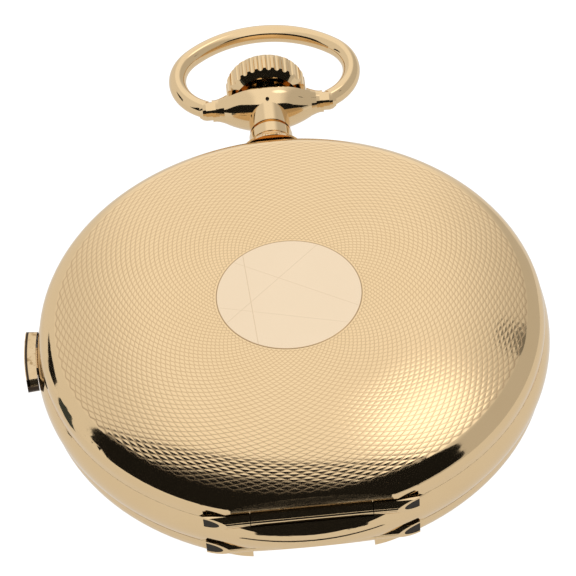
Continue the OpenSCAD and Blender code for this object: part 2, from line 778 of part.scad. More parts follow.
module repeater_slide() color(gold) {
    out_r = band_r + slide_out;
    half = asin((slide_len - slide_h) / 2 / out_r);
    neck_h = slide_slot_h / 2 - run;
    arc_bar(band_r + 0.05, out_r, 180 - half, 180 + half, mid_z - slide_h / 2, mid_z + slide_h / 2);
    for (s = [-1, 1])
        rotate(180 + s * half) translate([band_r + 0.05, 0, mid_z]) rotate([0, 90, 0])
            cylinder(r = slide_h / 2, h = slide_out - 0.05, $fn = 48);
    arc_bar(plate_flange_r + 0.1, band_r + 0.3, 180 - slide_neck_half, 180 + slide_neck_half, mid_z - neck_h,
        mid_z + neck_h);
    translate([0, 0, rack_z]) linear_extrude(rack_t) difference() {
        intersection() {
            circle(band_bore_r - 0.1, $fn = 180);
            polygon([[0, 0], polar(40, strike_dir - 3), polar(40, 167), polar(40, 184)]);
        }
        rotate(strike_dir) polygon(rack_points());
    }
}

// Gaps of the rack, one of them centred on the +X direction of this outline
function rack_points() = [for (i = [0 : strike_rack_n - 1], k = [0 : 3])
    polar(rack_r + strike_m * [-0.85, 1.15, 1.15, -0.85][k],
        360 / strike_rack_n * (i + [-0.36, -0.19, 0.19, 0.36][k]))];

module strike_barrel() color(brass) {
    at(strike_at) {
        translate([0, 0, rack_z]) rotate(strike_dir) wheel(strike_wheel_n, strike_m, rack_t, 5);
        rod(0.5, rack_z - 0.3, bridge_z + 0.5);
        rod(strike_wheel_n * strike_m / 2 - 1.5, rack_z + 0.2, barrel_top_z + 0.15);
    }
}

governor_low_z = rack_z - 0.4;
governor_top_z = bridge_z + 0.6;
weight_z = bridge_z - 0.65;
weight_h = 0.4;
module governor() color(brass) {
    at(governor_at) {
        rod(arbor_tip_r, governor_low_z, governor_top_z);
        rod(arbor_r, rack_z, bridge_z + 0.2);
        translate([0, 0, rack_z]) rotate(mate(strike_dir, strike_wheel_n, governor_dir, governor_n))
            gear(governor_n, strike_m, rack_t);
        rod(0.6, weight_z, weight_z + weight_h);
        for (a = [0, 180]) rotate(a) {
            translate([0.3, -0.15, weight_z + 0.1]) cube([1.5, 0.3, 0.2]);
            translate([1.7, 0, 0]) rod(0.45, weight_z, weight_z + weight_h);
        }
    }
}

// Movement frame
pivots = [[0, 0], third_at, fourth_at, escape_at];
screw_r = 0.35;
screw_head_r = 0.7;
barrel_screws = grow * [[15.6, 11.2], [17.8, -4.2], [-5.2, 17.6], [5, 19.6]];
train_screws = grow * [[-18.4, -4.6], [-6.6, 6.6], [-17.4, 0.8]];
cock_screws = grow * [[-1.4, -18.6]];
pallet_screws = grow * [[-14.6, -9.6]];
stem_slot_half = winding_r + 0.35;
module main_plate() color(nickel) {
    difference() {
        union() {
            rod(plate_r, plate_z, plate_top_z);
            ring(plate_r, plate_r - 1.2, dial_z + dial_t, plate_z + 0.1);
            rod(plate_flange_r, plate_flange_z, plate_flange_z + plate_flange_t);
            for (p = concat(barrel_screws, train_screws)) at(p) rod(1.1, plate_top_z - 0.1, bridge_z);
            at(cock_screws[0]) rod(1.3, plate_top_z - 0.1, cock_z);
            at(pallet_screws[0]) rod(0.9, plate_top_z - 0.1, pallet_bridge_z);
        }
        at(strike_at) {
            rod(strike_wheel_n * strike_m / 2 + 0.4, rack_floor_z, plate_top_z + 1);
            rod(0.5 + run, rack_z - 0.3, rack_z);
        }
        arc_bar(rack_r - 0.35, 30, strike_dir - slide_travel - 6, 190, rack_floor_z, plate_top_z + 1);
        translate([-stem_slot_half, stem_in_y - push_travel - 0.2, dial_z + dial_t - 1])
            cube([2 * stem_slot_half, plate_r, 6]);
        at(barrel_at) rod(ratchet_arbor_r + run, plate_top_z - 0.5, plate_top_z + 1);
        rod(arbor_r + 0.15 + run, plate_z - 1, plate_top_z + 1);
        for (p = [third_at, escape_at, pallet_at, balance_at])
            at(p) rod(jewel_r, plate_top_z - 0.45, plate_top_z + 1);
        at(governor_at) {
            rod(jewel_r, governor_low_z - 0.03, plate_top_z + 1);
            rod(1.35, rack_z - 0.05, plate_top_z + 1);
        }
        at(fourth_at) rod(arbor_r + run, plate_z - 1, plate_top_z + 1);
        for (p = [minute_at, snail_at]) at(p) rod(0.3, plate_z - 1, plate_z + 0.6);
        at(rack_pivot) rod(rack_post_r + run, plate_z - 1, plate_z + 0.6);
        for (a = case_screw_dirs) rotate(a) translate([case_screw_r, 0, 0]) rod(screw_r + run, 5, 8);
        for (a = case_screw_dirs) rotate(a) translate([case_screw_r, 0, 0])
            rod(screw_head_r + 0.1, plate_flange_z + plate_flange_t - 0.03, 8);
        for (p = concat(barrel_screws, train_screws)) at(p) rod(screw_r, bridge_z - 1.2, bridge_z + 1);
        at(cock_screws[0]) rod(screw_r, cock_z - 1.2, cock_z + 1);
        at(pallet_screws[0]) rod(screw_r, pallet_bridge_z - 0.9, pallet_bridge_z + 0.9);
    }
}
jewel_r = 0.75;

module barrel_bridge() color(nickel) {
    edge = plate_r - 1.2;
    translate([0, 0, bridge_z]) linear_extrude(bridge_t) difference() {
        intersection() {
            circle(edge, $fn = 180);
            polygon(grow * [[-7, 30], [-6.3, 15.2], [-4.2, 9.4], [2.6, 2.9], [5, -5.2], [18, -6.6],
                [30, -6], [30, 30]]);
        }
        translate(barrel_at) circle(ratchet_arbor_r + run, $fn = 48);
        translate(crown_wheel_at) circle(crown_hub_r + run, $fn = 48);
        for (p = barrel_screws) translate(p) circle(screw_r, $fn = 32);
    }
}

module train_bridge() color(nickel) {
    edge = plate_r - 1.2;
    translate([0, 0, bridge_z]) linear_extrude(bridge_t) difference() {
        intersection() {
            circle(edge, $fn = 180);
            polygon(grow * [[-30, -7.2], [-2.6, -6.4], [2.6, -3.6], [2.2, 1.2], [-4.6, 8.4], [-6.8, 15],
                [-7.6, 30], [-30, 30]]);
        }
        translate(balance_at) circle(balance_r + 0.35, $fn = 96);
        for (p = concat(pivots, [governor_at])) translate(p) circle(jewel_r, $fn = 48);
        translate(strike_at) circle(0.5 + run, $fn = 48);
        for (p = train_screws) translate(p) circle(screw_r, $fn = 32);
    }
}

module pallet_bridge() color(nickel) {
    a = dir_of(pallet_at, pallet_screws[0]);
    translate([0, 0, pallet_bridge_z]) linear_extrude(pallet_bridge_t) difference() {
        union() {
            translate(pallet_at) circle(1, $fn = 48);
            translate(pallet_screws[0]) circle(0.9, $fn = 48);
            translate(pallet_at) rotate(a) translate([0, -0.6])
                square([norm(pallet_screws[0] - pallet_at), 1.2]);
        }
        translate(pallet_at) circle(0.4, $fn = 32);
        translate(pallet_screws[0]) circle(screw_r, $fn = 32);
    }
}

module balance_cock() color(nickel) {
    foot = cock_screws[0];
    a = dir_of(balance_at, foot);
    translate([0, 0, cock_z]) linear_extrude(cock_t) difference() {
        union() {
            translate(balance_at) circle(2, $fn = 64);
            translate(foot) circle(1.6, $fn = 64);
            translate(balance_at) rotate(a) translate([0, -1.1]) square([norm(foot - balance_at), 2.2]);
        }
        translate(balance_at) circle(jewel_r, $fn = 48);
        translate(foot) circle(screw_r, $fn = 32);
    }
}

module screw(p, z, len, head_r = 0.9, head_h = 0.35) {
    at(p) difference() {
        union() {
            rod(screw_r, z - len, z + 0.1);
            rod(head_r, z, z + head_h);
        }
        translate([-head_r - 1, -0.09, z + head_h - 0.15]) cube([2 * head_r + 2, 0.18, 1]);
    }
}

module bridge_screws() color(blued) {
    for (p = concat(barrel_screws, train_screws)) screw(p, bridge_top_z, bridge_t + 1.2);
    screw(cock_screws[0], cock_z + cock_t, cock_t + 1.2);
    screw(pallet_screws[0], pallet_bridge_z + pallet_bridge_t, pallet_bridge_t + 0.9, 0.6, 0.22);
}

module case_screws() color(steel) {
    for (a = case_screw_dirs)
        rotate(a) screw([case_screw_r, 0], plate_flange_z + plate_flange_t, 1.2, screw_head_r);
}

module jewel(p, z, bore) {
    at(p) difference() {
        rod(jewel_r, z, z + 0.35);
        rod(bore + run, z - 1, z + 1);
    }
}

module jewels() color([0.7, 0.1, 0.2]) {
    for (p = [third_at, escape_at, pallet_at, balance_at]) jewel(p, plate_top_z - 0.45, arbor_tip_r);
    jewel(governor_at, governor_low_z - 0.03, arbor_tip_r);
    for (p = concat(pivots, [governor_at])) jewel(p, bridge_z + 0.3, arbor_tip_r);
    jewel(balance_at, cock_z + 0.05, arbor_tip_r);
}
arbor_tip_r = 0.12;

module mainspring_barrel() color(brass) {
    drum_r = barrel_n * barrel_m / 2 - 0.5;
    at(barrel_at) difference() {
        union() {
            rod(drum_r, barrel_low_z, barrel_top_z);
            translate([0, 0, barrel_low_z]) rotate(barrel_phase) gear(barrel_n, barrel_m, 0.35);
        }
        rod(drum_r - 0.4, barrel_low_z + 0.15, barrel_top_z - 0.15);
        rod(ratchet_arbor_r + run, barrel_low_z - 1, barrel_top_z + 1);
    }
}
barrel_phase = dir_of(barrel_at, [0, 0]);
center_pinion_phase = mate(barrel_phase, barrel_n, barrel_phase, center_pinion_n);
center_phase = dir_of([0, 0], third_at);

module arbor(z0, z1) {
    rod(arbor_r, z0 + 0.35, z1 - 0.35);
    rod(arbor_tip_r, z0, z1);
}
train_top_z = bridge_z + 0.62;
train_low_z = plate_top_z - 0.42;

module center_wheel() color(brass) {
    translate([0, 0, center_wheel_z]) rotate(center_phase) wheel(center_n, center_m, wheel_t, 5);
    translate([0, 0, barrel_low_z]) rotate(center_pinion_phase) gear(center_pinion_n, barrel_m, 0.7);
    rod(0.5, barrel_low_z, center_wheel_z + wheel_t + 0.1);
    rod(center_arbor_r, cannon_low_z + 0.1, barrel_low_z + 0.1);
    rod(arbor_tip_r, center_wheel_z, train_top_z);
}
center_arbor_r = 0.36;
cannon_low_z = 2.75;

module third_wheel() color(brass) {
    at(third_at) {
        translate([0, 0, third_wheel_z]) rotate(third_phase) wheel(third_n, third_m, wheel_t, 5);
        translate([0, 0, third_wheel_z]) rotate(mate(center_phase, center_n, center_phase, third_pinion_n))
            gear(third_pinion_n, center_m, 0.8);
        arbor(train_low_z, train_top_z);
    }
}
third_phase = dir_of(third_at, fourth_at);

module fourth_wheel() color(brass) {
    at(fourth_at) {
        translate([0, 0, fourth_wheel_z]) rotate(fourth_phase) wheel(fourth_n, fourth_m, wheel_t, 5);
        translate([0, 0, third_wheel_z - 0.25])
            rotate(mate(third_phase, third_n, third_phase, fourth_pinion_n))
                gear(fourth_pinion_n, third_m, 0.7);
        rod(arbor_r, seconds_hand_z + seconds_t, train_top_z - 0.35);
        rod(arbor_tip_r, seconds_hand_z + seconds_t, train_top_z);
    }
}
fourth_phase = dir_of(fourth_at, escape_at);

module escape_wheel() color(brass) {
    rim = 2.05 * grow;
    tip = 2.55 * grow;
    at(escape_at) {
        translate([0, 0, escape_wheel_z]) linear_extrude(wheel_t) difference() {
            union() {
                circle(rim);
                for (i = [0 : escape_n - 1])
                    rotate(i * 360 / escape_n) polygon([polar(rim - 0.1, -9), polar(tip, -1), polar(tip, 2),
                        polar(rim - 0.1, 3)]);
            }
            difference() {
                circle(rim - 0.35);
                circle(0.5);
                for (i = [0 : 3]) rotate(i * 90) translate([0, -0.12]) square([rim, 0.24]);
            }
        }
        translate([0, 0, fourth_wheel_z - 0.1])
            rotate(mate(fourth_phase, fourth_n, fourth_phase, escape_pinion_n))
                gear(escape_pinion_n, fourth_m, 0.5);
        arbor(train_low_z, train_top_z);
    }
}

fork_end = 3.7 * grow;
module pallet_fork() color(steel) {
    at(pallet_at) {
        translate([0, 0, pallet_z]) rotate(balance_dir) linear_extrude(0.18) {
            difference() {
                union() {
                    translate([-0.2, -0.22]) square([fork_end - 0.35, 0.44]);
                    translate([fork_end - 0.6, -0.45]) square([0.6, 0.9]);
                }
                translate([fork_end - 0.45, -0.15]) square([1, 0.3]);
            }
            circle(0.5, $fn = 32);
            for (s = [-1, 1])
                polygon(grow * [[0.3, 0], [0, s * 1.75], [-0.6, s * 2.15], [-1.35, s * 2.05],
                    [-1.29, s * 1.91], [-0.6, s * 1.7], [-0.3, 0]]);
        }
        rod(0.2, plate_top_z - 0.07, pallet_bridge_z + 0.1);
        rod(arbor_tip_r, train_low_z, pallet_bridge_z + 0.2);
    }
}

module balance_wheel() color(brass) {
    at(balance_at) {
        ring(balance_r, balance_r - 0.6, balance_z, balance_z + 0.35);
        for (a = [0, 90]) rotate(a + 20) translate([-balance_r + 0.3, -0.25, balance_z + 0.05])
            cube([2 * balance_r - 0.6, 0.5, 0.22]);
        for (i = [0 : 11])
            rotate(i * 30 + 5) translate([balance_r - 0.65, 0, balance_z + 0.17]) rotate([0, 90, 0])
                cylinder(r = 0.16, h = 0.85, $fn = 24);
        rod(0.35, roller_z, spring_z + 0.18);
        rod(1.1, roller_z, roller_z + 0.15);
        rod(arbor_r, plate_top_z, cock_z);
        rod(arbor_tip_r, train_low_z, cock_z + 0.35);
    }
}

// Flat spiral of the balance spring, from the collet to its stud
function spiral_at(t, side) = polar(0.75 + 3.2 * t + side * 0.03, t * spring_turns * 360);
spring_turns = 8;
module hairspring() color(blued) {
    steps = spring_turns * 20;
    stud = spiral_at(1, 0);
    at(balance_at) rotate(dir_of(balance_at, cock_screws[0])) {
        translate([0, 0, spring_z]) linear_extrude(0.14)
            polygon(concat([for (i = [0 : steps]) spiral_at(i / steps, 1)],
                [for (i = [steps : -1 : 0]) spiral_at(i / steps, -1)]));
        translate([0, 0, spring_z]) linear_extrude(0.14) difference() {
            circle(0.8, $fn = 48);
            circle(0.35 + run, $fn = 48);
        }
        translate([stud[0], stud[1], spring_z - 0.05]) cylinder(r = 0.2, h = 0.25, $fn = 24);
    }
}

// Motion work and hands
cannon_wheel_z = 5.3;
motion_t = 0.18;
hour_wheel_z = 4.9;
cannon_pipe_r = 0.62;
module cannon_pinion() color(steel) {
    difference() {
        union() {
            rod(cannon_pipe_r, cannon_low_z, plate_z - 0.05);
            translate([0, 0, cannon_wheel_z]) rotate(minute_dir) gear(cannon_n, cannon_m, motion_t);
            translate([0, 0, cannon_wheel_z + 0.4]) linear_extrude(0.2) quarter_steps();
        }
        rod(center_arbor_r + 0.01, cannon_low_z - 1, plate_z + 1);
    }
}

// Snail with four steps that says how many quarters have passed
module quarter_steps() {
    polygon([for (q = [0 : 3], k = [0 : 6]) grow * polar(1.6 - 0.22 * q, q * 90 + k * 15)]);
}

module minute_wheel() color(brass) {
    at(minute_at) {
        translate([0, 0, cannon_wheel_z]) rotate(mate(minute_dir, cannon_n, minute_dir, minute_n))
            gear(minute_n, cannon_m, motion_t);
        translate([0, 0, hour_wheel_z]) rotate(minute_dir + 180) gear(minute_pinion_n, hour_m, 0.5);
        rod(0.3 - 0.02, cannon_wheel_z, plate_z + 0.55);
    }
}

module hour_wheel() color(brass) {
    difference() {
        union() {
            translate([0, 0, hour_wheel_z])
                rotate(mate(minute_dir + 180, minute_pinion_n, minute_dir + 180, hour_n))
                    gear(hour_n, hour_m, motion_t);
            rod(1, hour_hand_z, hour_wheel_z + motion_t);
        }
        rod(cannon_pipe_r + run, hour_hand_z - 1, hour_wheel_z + 1);
    }
}

seconds_dial_r = 4.3 * grow;
module dial() color([0.96, 0.95, 0.92]) {
    difference() {
        rod(dial_r, dial_z, dial_z + dial_t);
        rod(1.2, dial_z - 1, dial_z + 1);
        at(fourth_at) {
            rod(seconds_dial_r, dial_z - 1, dial_z + 0.12);
            rod(0.45, dial_z - 1, dial_z + 1);
        }
    }
}

// Hands point to 10 past 10 in the dial's own sense, with 12 at +X and 3 at +Y
hour_dir = -55;
minute_hand_dir = 60;
module hand(len, w, z, bore) {
    translate([0, 0, z]) linear_extrude(hand_t) difference() {
        union() {
            circle(bore + 0.55, $fn = 48);
            polygon([[0, -w * 0.35], [len * 0.5, -w * 0.3], [len * 0.62, -w], [len * 0.76, -w * 0.25],
                [len, -0.03], [len, 0.03], [len * 0.76, w * 0.25], [len * 0.62, w], [len * 0.5, w * 0.3],
                [0, w * 0.35]]);
        }
        circle(bore, $fn = 48);
    }
}

module hour_hand() color(blued) {
    rotate(hour_dir) hand(11.5 * grow, 1.1, hour_hand_z - hand_t, cannon_pipe_r + run);
}

module minute_hand() color(blued) {
    rotate(minute_hand_dir) hand(17.5 * grow, 0.8, cannon_low_z - hand_t, arbor_tip_r);
}

seconds_len = seconds_dial_r - 0.9;
module seconds_hand() color(blued) {
    at(fourth_at) rotate(30) {
        translate([0, 0, seconds_hand_z]) linear_extrude(seconds_t) {
            polygon([[-1.2, -0.12], [seconds_len, -0.03], [seconds_len, 0.03], [-1.2, 0.12]]);
            circle(0.4, $fn = 32);
        }
    }
}

// Repeating work under the dial
star_n = 12;
module hour_snail() color(steel) {
    at(snail_at) {
        translate([0, 0, cannon_wheel_z]) linear_extrude(0.2)
            polygon([for (i = [0 : star_n - 1], k = [0, 1])
                grow * polar([2.6, 1.9][k], (i + k / 2) * 360 / star_n)]);
        translate([0, 0, cannon_wheel_z + 0.22]) linear_extrude(0.25)
            polygon([for (q = [0 : 11], k = [0 : 3]) grow * polar(2.5 - 0.14 * q, q * 30 + k * 9)]);
        rod(0.28, cannon_wheel_z, plate_z + 0.55);
    }
}

rack_pivot = grow * [-9.5, -15.5];
rack_post_r = 0.4;
hour_rack_z = cannon_wheel_z + 0.15;
module hour_rack() color(steel) {
    reach = norm(snail_at - rack_pivot);
    tail = reach - 3.1 * grow;
    a = dir_of(rack_pivot, snail_at);
    at(rack_pivot) {
        rod(1, hour_rack_z, hour_rack_z + 0.3);
        rod(rack_post_r, hour_rack_z, plate_z + 0.5);
        translate([0, 0, hour_rack_z]) rotate(a - 12) linear_extrude(0.3)
            polygon([[0, 0.9], [reach / 2, 0.7], [tail, 0.25], [tail, -0.2], [reach / 2, -0.5], [0, -0.9]]);
    }
}

hour_hammer_at = grow * [13.6, -13.2];
quarter_hammer_at = grow * [16.2, -9.6];
module hammer(p, z, from) {
    a = dir_of([0, 0], p);
    at(p) {
        rod(0.8, z, z + 0.45);
        rod(0.35, plate_top_z, z + 0.9);
        translate([0, 0, z]) rotate(a + from) linear_extrude(0.45)
            polygon(grow * [[0, 0.5], [3.4, 0.35], [3.5, 0.9], [5.3, 0.95], [5.5, -0.6], [3.4, -0.5],
                [0, -0.6]]);
    }
}

hammer_swing = -70;
module hour_hammer() color(steel) {
    hammer(hour_hammer_at, gong_low_z - 0.22, hammer_swing);
}

module quarter_hammer() color(steel) {
    hammer(quarter_hammer_at, gong_high_z - 0.22, hammer_swing);
}

// Gongs: two open circles of wire round the movement, both held by the block
gong_low_z = 8;
gong_high_z = 8.6;
gong_dir = -72;
module gong(z, turn) {
    translate([0, 0, z]) rotate(gong_dir) rotate_extrude(angle = turn, $fn = 180)
        translate([gong_r, 0]) circle(gong_wire_r, $fn = 24);
}

module hour_gong() color(blued) {
    gong(gong_low_z, 335);
}

module quarter_gong() color(blued) {
    gong(gong_high_z, 335);
}

module gong_block() color(steel) {
    arc_bar(plate_r + 0.1, plate_flange_r, gong_dir - 4, gong_dir, plate_flange_z + plate_flange_t,
        gong_high_z + 0.3);
}

// Flat springs along the inside of the band
lid_spring_z = 8.5;
lid_spring_in_r = band_bore_r - 0.85;
module case_spring(from, to) {
    mid = (from + to) / 2;
    arc_bar(lid_spring_in_r + 0.2, band_bore_r, mid - 5, mid + 5, lid_spring_z, lid_spring_z + 0.5);
    arc_bar(lid_spring_in_r, lid_spring_in_r + 0.4, from, to, lid_spring_z, lid_spring_z + 0.5);
}

module lid_spring() color(steel) {
    case_spring(18, 78);
}

module lock_spring() color(steel) {
    case_spring(102, 162);
}

case_band();
back_cover();
front_cover();
back_hinge_pin();
front_hinge_pin();
cuvette();
cuvette_pin();
bezel();
crystal();
pendant_collar();
pendant_head();
pendant_pin();
bow();
crown();
winding_stem();
stem_collar();
winding_pinion();
crown_wheel();
ratchet_wheel();
click();
repeater_slide();
strike_barrel();
governor();
main_plate();
barrel_bridge();
train_bridge();
pallet_bridge();
balance_cock();
bridge_screws();
case_screws();
jewels();
mainspring_barrel();
center_wheel();
third_wheel();
fourth_wheel();
escape_wheel();
pallet_fork();
balance_wheel();
hairspring();
cannon_pinion();
minute_wheel();
hour_wheel();
dial();
hour_hand();
minute_hand();
seconds_hand();
hour_snail();
hour_rack();
hour_hammer();
quarter_hammer();
hour_gong();
quarter_gong();
gong_block();
lid_spring();
lock_spring();
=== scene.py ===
import json
import math
import bpy
import numpy as np
from mathutils import Matrix, Vector

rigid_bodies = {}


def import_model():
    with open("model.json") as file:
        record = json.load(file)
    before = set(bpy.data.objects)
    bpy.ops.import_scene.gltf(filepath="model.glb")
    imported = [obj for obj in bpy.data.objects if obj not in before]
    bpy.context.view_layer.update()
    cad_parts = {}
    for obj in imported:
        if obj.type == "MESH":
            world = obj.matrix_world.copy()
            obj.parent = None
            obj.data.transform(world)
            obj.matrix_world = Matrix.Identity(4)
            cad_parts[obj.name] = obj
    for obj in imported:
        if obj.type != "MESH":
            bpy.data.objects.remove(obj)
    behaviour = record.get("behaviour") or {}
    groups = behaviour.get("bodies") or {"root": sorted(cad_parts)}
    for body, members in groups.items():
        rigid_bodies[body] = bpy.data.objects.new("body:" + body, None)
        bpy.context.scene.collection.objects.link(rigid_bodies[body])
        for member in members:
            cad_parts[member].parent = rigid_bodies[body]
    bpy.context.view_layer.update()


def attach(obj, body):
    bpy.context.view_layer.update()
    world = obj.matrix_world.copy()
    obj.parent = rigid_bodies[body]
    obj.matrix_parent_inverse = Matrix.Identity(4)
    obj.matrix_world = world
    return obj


# Start from an empty scene
for old in list(bpy.data.objects):
    bpy.data.objects.remove(old)
scene = bpy.context.scene
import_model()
MM = 0.001

# Sizes repeated from the part's source, in millimetres. Heights are over the table under the front cover
COVER_H = 5.0
BAND_H = 4.1
BACK_SEAM = COVER_H + BAND_H
CARTOUCHE_R = 7.98
DOME_R = 25.6
DOME_FALL = 2.2
DOME_ARC_R = ((DOME_R - CARTOUCHE_R) ** 2 + DOME_FALL ** 2) / (2 * DOME_FALL)
HINGE_CHORD = 24.95  # both covers are cut straight here, before their hinges
DIAL_Z = 4.25
SECONDS_X = -11.5


# Camera at the photograph's viewing angle: azimuth, elevation and roll in degrees, distances in millimetres
CAMERA_ANGLES = (-1.23, 47.35, -4.46)
CAMERA_TARGET = (0.05, 5.47, BACK_SEAM)
CAMERA_DISTANCE = 286.94
CAMERA_LENS = 162.5
CAMERA_SENSOR = 36


def add_camera():
    az, el, roll = (math.radians(a) for a in CAMERA_ANGLES)
    target = Vector(CAMERA_TARGET) * MM
    back = Vector((math.sin(az) * math.cos(el), -math.cos(az) * math.cos(el), math.sin(el)))
    right = Vector((math.cos(az), math.sin(az), 0))
    up = back.cross(right)
    rolled_right = math.cos(roll) * right + math.sin(roll) * up
    rolled_up = -math.sin(roll) * right + math.cos(roll) * up
    data = bpy.data.cameras.new("camera")
    data.sensor_width = CAMERA_SENSOR
    data.lens = CAMERA_LENS
    data.clip_start = 0.01
    data.clip_end = 10
    cam = bpy.data.objects.new("camera", data)
    scene.collection.objects.link(cam)
    spot = target + back * CAMERA_DISTANCE * MM
    placing = Matrix.Identity(4)
    for col, v in enumerate((rolled_right, rolled_up, back, spot)):
        for row in range(3):
            placing[row][col] = v[row]
    cam.matrix_world = placing
    scene.camera = cam


add_camera()


# Depth of the grain that bump nodes show, in millimetres
RELIEF_DEPTH = 0.02


class Nodes:
    """Short ways to add shader nodes to one tree."""

    def __init__(self, tree):
        self.tree = tree
        tree.nodes.clear()

    def add(self, kind, **values):
        node = self.tree.nodes.new(kind)
        for key, value in values.items():
            setattr(node, key, value)
        return node

    def put(self, value, socket):
        if hasattr(value, "links"):
            self.tree.links.new(value, socket)
        else:
            socket.default_value = value

    def math(self, op, a, b=0.0, c=0.0):
        node = self.add("ShaderNodeMath", operation=op)
        for i, v in enumerate((a, b, c)):
            self.put(v, node.inputs[i])
        return node.outputs[0]

    def step(self, value, low, high):
        """A soft step from 0 at low to 1 at high."""
        node = self.add("ShaderNodeMapRange", interpolation_type="SMOOTHSTEP")
        for i, v in enumerate((value, low, high, 0.0, 1.0)):
            self.put(v, node.inputs[i])
        return node.outputs[0]

    def noise(self, vector, scale, detail=3.0, rough=0.5):
        node = self.add("ShaderNodeTexNoise")
        self.put(vector, node.inputs["Vector"])
        node.inputs["Scale"].default_value = scale
        node.inputs["Detail"].default_value = detail
        node.inputs["Roughness"].default_value = rough
        return node.outputs["Fac"]

    def split(self, vector):
        node = self.add("ShaderNodeSeparateXYZ")
        self.put(vector, node.inputs[0])
        return node.outputs

    def from_axis(self, coord):
        """Distance from the watch's axis."""
        node = self.add("ShaderNodeVectorMath", operation="LENGTH")
        self.put(self.stretched(coord, (1, 1, 0)), node.inputs[0])
        return node.outputs["Value"]

    def stretched(self, vector, scale, turn=(0, 0, 0)):
        node = self.add("ShaderNodeMapping")
        self.put(vector, node.inputs["Vector"])
        node.inputs["Scale"].default_value = scale
        node.inputs["Rotation"].default_value = turn
        return node.outputs[0]

    def relief(self, height, strength, shader):
        node = self.add("ShaderNodeBump")
        node.inputs["Strength"].default_value = strength
        node.inputs["Distance"].default_value = RELIEF_DEPTH * MM
        self.put(height, node.inputs["Height"])
        self.put(node.outputs[0], shader.inputs["Normal"])

    def mix(self, fac, a, b):
        node = self.add("ShaderNodeMix", data_type="RGBA")
        self.put(fac, node.inputs[0])
        self.put(a, node.inputs[6])
        self.put(b, node.inputs[7])
        return node.outputs[2]


def rgba(c):
    return (c[0], c[1], c[2], 1.0)


# World: a white studio that is dimmer at its sides, more so on the right, and has one brighter patch. The
# dimming starts and ends at these sideways parts of a direction, and the patch at these cosines of the angle
# from its middle
STUDIO_LEVEL = 1.04
RIGHT_DIM = 0.45
RIGHT_FROM, RIGHT_TO = 0.22, 0.5
LEFT_DIM = 0.22
LEFT_FROM, LEFT_TO = 0.2, 0.36
LAMP_TOWARDS = (0.26, 0.37, 0.89)
LAMP_FROM, LAMP_TO = 0.985, 0.999
LAMP_LEVEL = 0.8


def build_world():
    world = bpy.data.worlds.new("studio")
    scene.world = world
    world.use_nodes = True
    n = Nodes(world.node_tree)
    out = n.add("ShaderNodeOutputWorld")
    coord = n.add("ShaderNodeTexCoord").outputs["Generated"]
    sideways = n.split(coord)[0]
    right = n.step(sideways, RIGHT_FROM, RIGHT_TO)
    left = n.step(n.math("MULTIPLY", sideways, -1.0), LEFT_FROM, LEFT_TO)
    side = n.math("MULTIPLY_ADD", right, -RIGHT_DIM, n.math("MULTIPLY_ADD", left, -LEFT_DIM, STUDIO_LEVEL))
    near = n.add("ShaderNodeVectorMath", operation="DOT_PRODUCT")
    n.put(coord, near.inputs[0])
    near.inputs[1].default_value = Vector(LAMP_TOWARDS).normalized()
    lamp = n.step(near.outputs["Value"], LAMP_FROM, LAMP_TO)
    level = n.math("MULTIPLY_ADD", lamp, LAMP_LEVEL, side)
    studio = n.add("ShaderNodeBackground")
    studio.inputs["Color"].default_value = (1, 1, 1, 1)
    n.put(level, studio.inputs["Strength"])
    white = n.add("ShaderNodeBackground")
    white.inputs["Color"].default_value = (1, 1, 1, 1)
    mix = n.add("ShaderNodeMixShader")
    n.put(n.add("ShaderNodeLightPath").outputs["Is Camera Ray"], mix.inputs[0])
    n.put(studio.outputs[0], mix.inputs[1])
    n.put(white.outputs[0], mix.inputs[2])
    n.put(mix.outputs[0], out.inputs[0])


build_world()


# Floor: pale, and glowing where the camera or the gold sees it, so that it is white round the shadow
FLOOR_HALF = 1500
FLOOR_DROP = 0.12
FLOOR_TONE = 0.9
FLOOR_GLOW = 0.8
FLOOR_CAMERA_GLOW = 0.45
FLOOR_GLOW_SHARE = 0.8


def add_floor():
    mesh = bpy.data.meshes.new("floor")
    s, z = FLOOR_HALF * MM, -FLOOR_DROP * MM
    mesh.from_pydata([(-s, -s, z), (s, -s, z), (s, s, z), (-s, s, z)], [], [(0, 1, 2, 3)])
    floor = bpy.data.objects.new("floor", mesh)
    scene.collection.objects.link(floor)
    mat = bpy.data.materials.new("floor")
    mat.use_nodes = True
    n = Nodes(mat.node_tree)
    out = n.add("ShaderNodeOutputMaterial")
    diffuse = n.add("ShaderNodeBsdfDiffuse")
    diffuse.inputs["Color"].default_value = rgba([FLOOR_TONE] * 3)
    glow = n.add("ShaderNodeEmission")
    path = n.add("ShaderNodeLightPath")
    camera_ray = path.outputs["Is Camera Ray"]
    seen = n.math("MAXIMUM", camera_ray, path.outputs["Is Glossy Ray"])
    n.put(n.math("MULTIPLY_ADD", camera_ray, FLOOR_CAMERA_GLOW, FLOOR_GLOW), glow.inputs["Strength"])
    mix = n.add("ShaderNodeMixShader")
    n.put(n.math("MULTIPLY", seen, FLOOR_GLOW_SHARE), mix.inputs[0])
    n.put(diffuse.outputs[0], mix.inputs[1])
    n.put(glow.outputs[0], mix.inputs[2])
    n.put(mix.outputs[0], out.inputs[0])
    mesh.materials.append(mat)


add_floor()


# Cards round the watch that only show in its gold, as the photographer's things do in the photograph. The
# large black one hangs over the front of the case, and its edge bounds the black in the polished border
CARD_Z = 66
BLACK_CARD = [(-400, -90), (-175, -30), (-113, -12), (-75, 4), (-52, 11), (-46, 9.5), (-38.4, 4.6),
              (-32.7, 1.6), (-25.8, -1.8), (-19.3, -4.4), (-14.2, -6.4), (-2.8, -9.2), (6, -10.6),
              (12.9, -11), (19.9, -10.5), (26, -10), (33, -11), (45, -16), (60, -28), (68.5, -37.4),
              (110, -62), (264, -150), (400, -230), (400, -900), (-400, -900)]
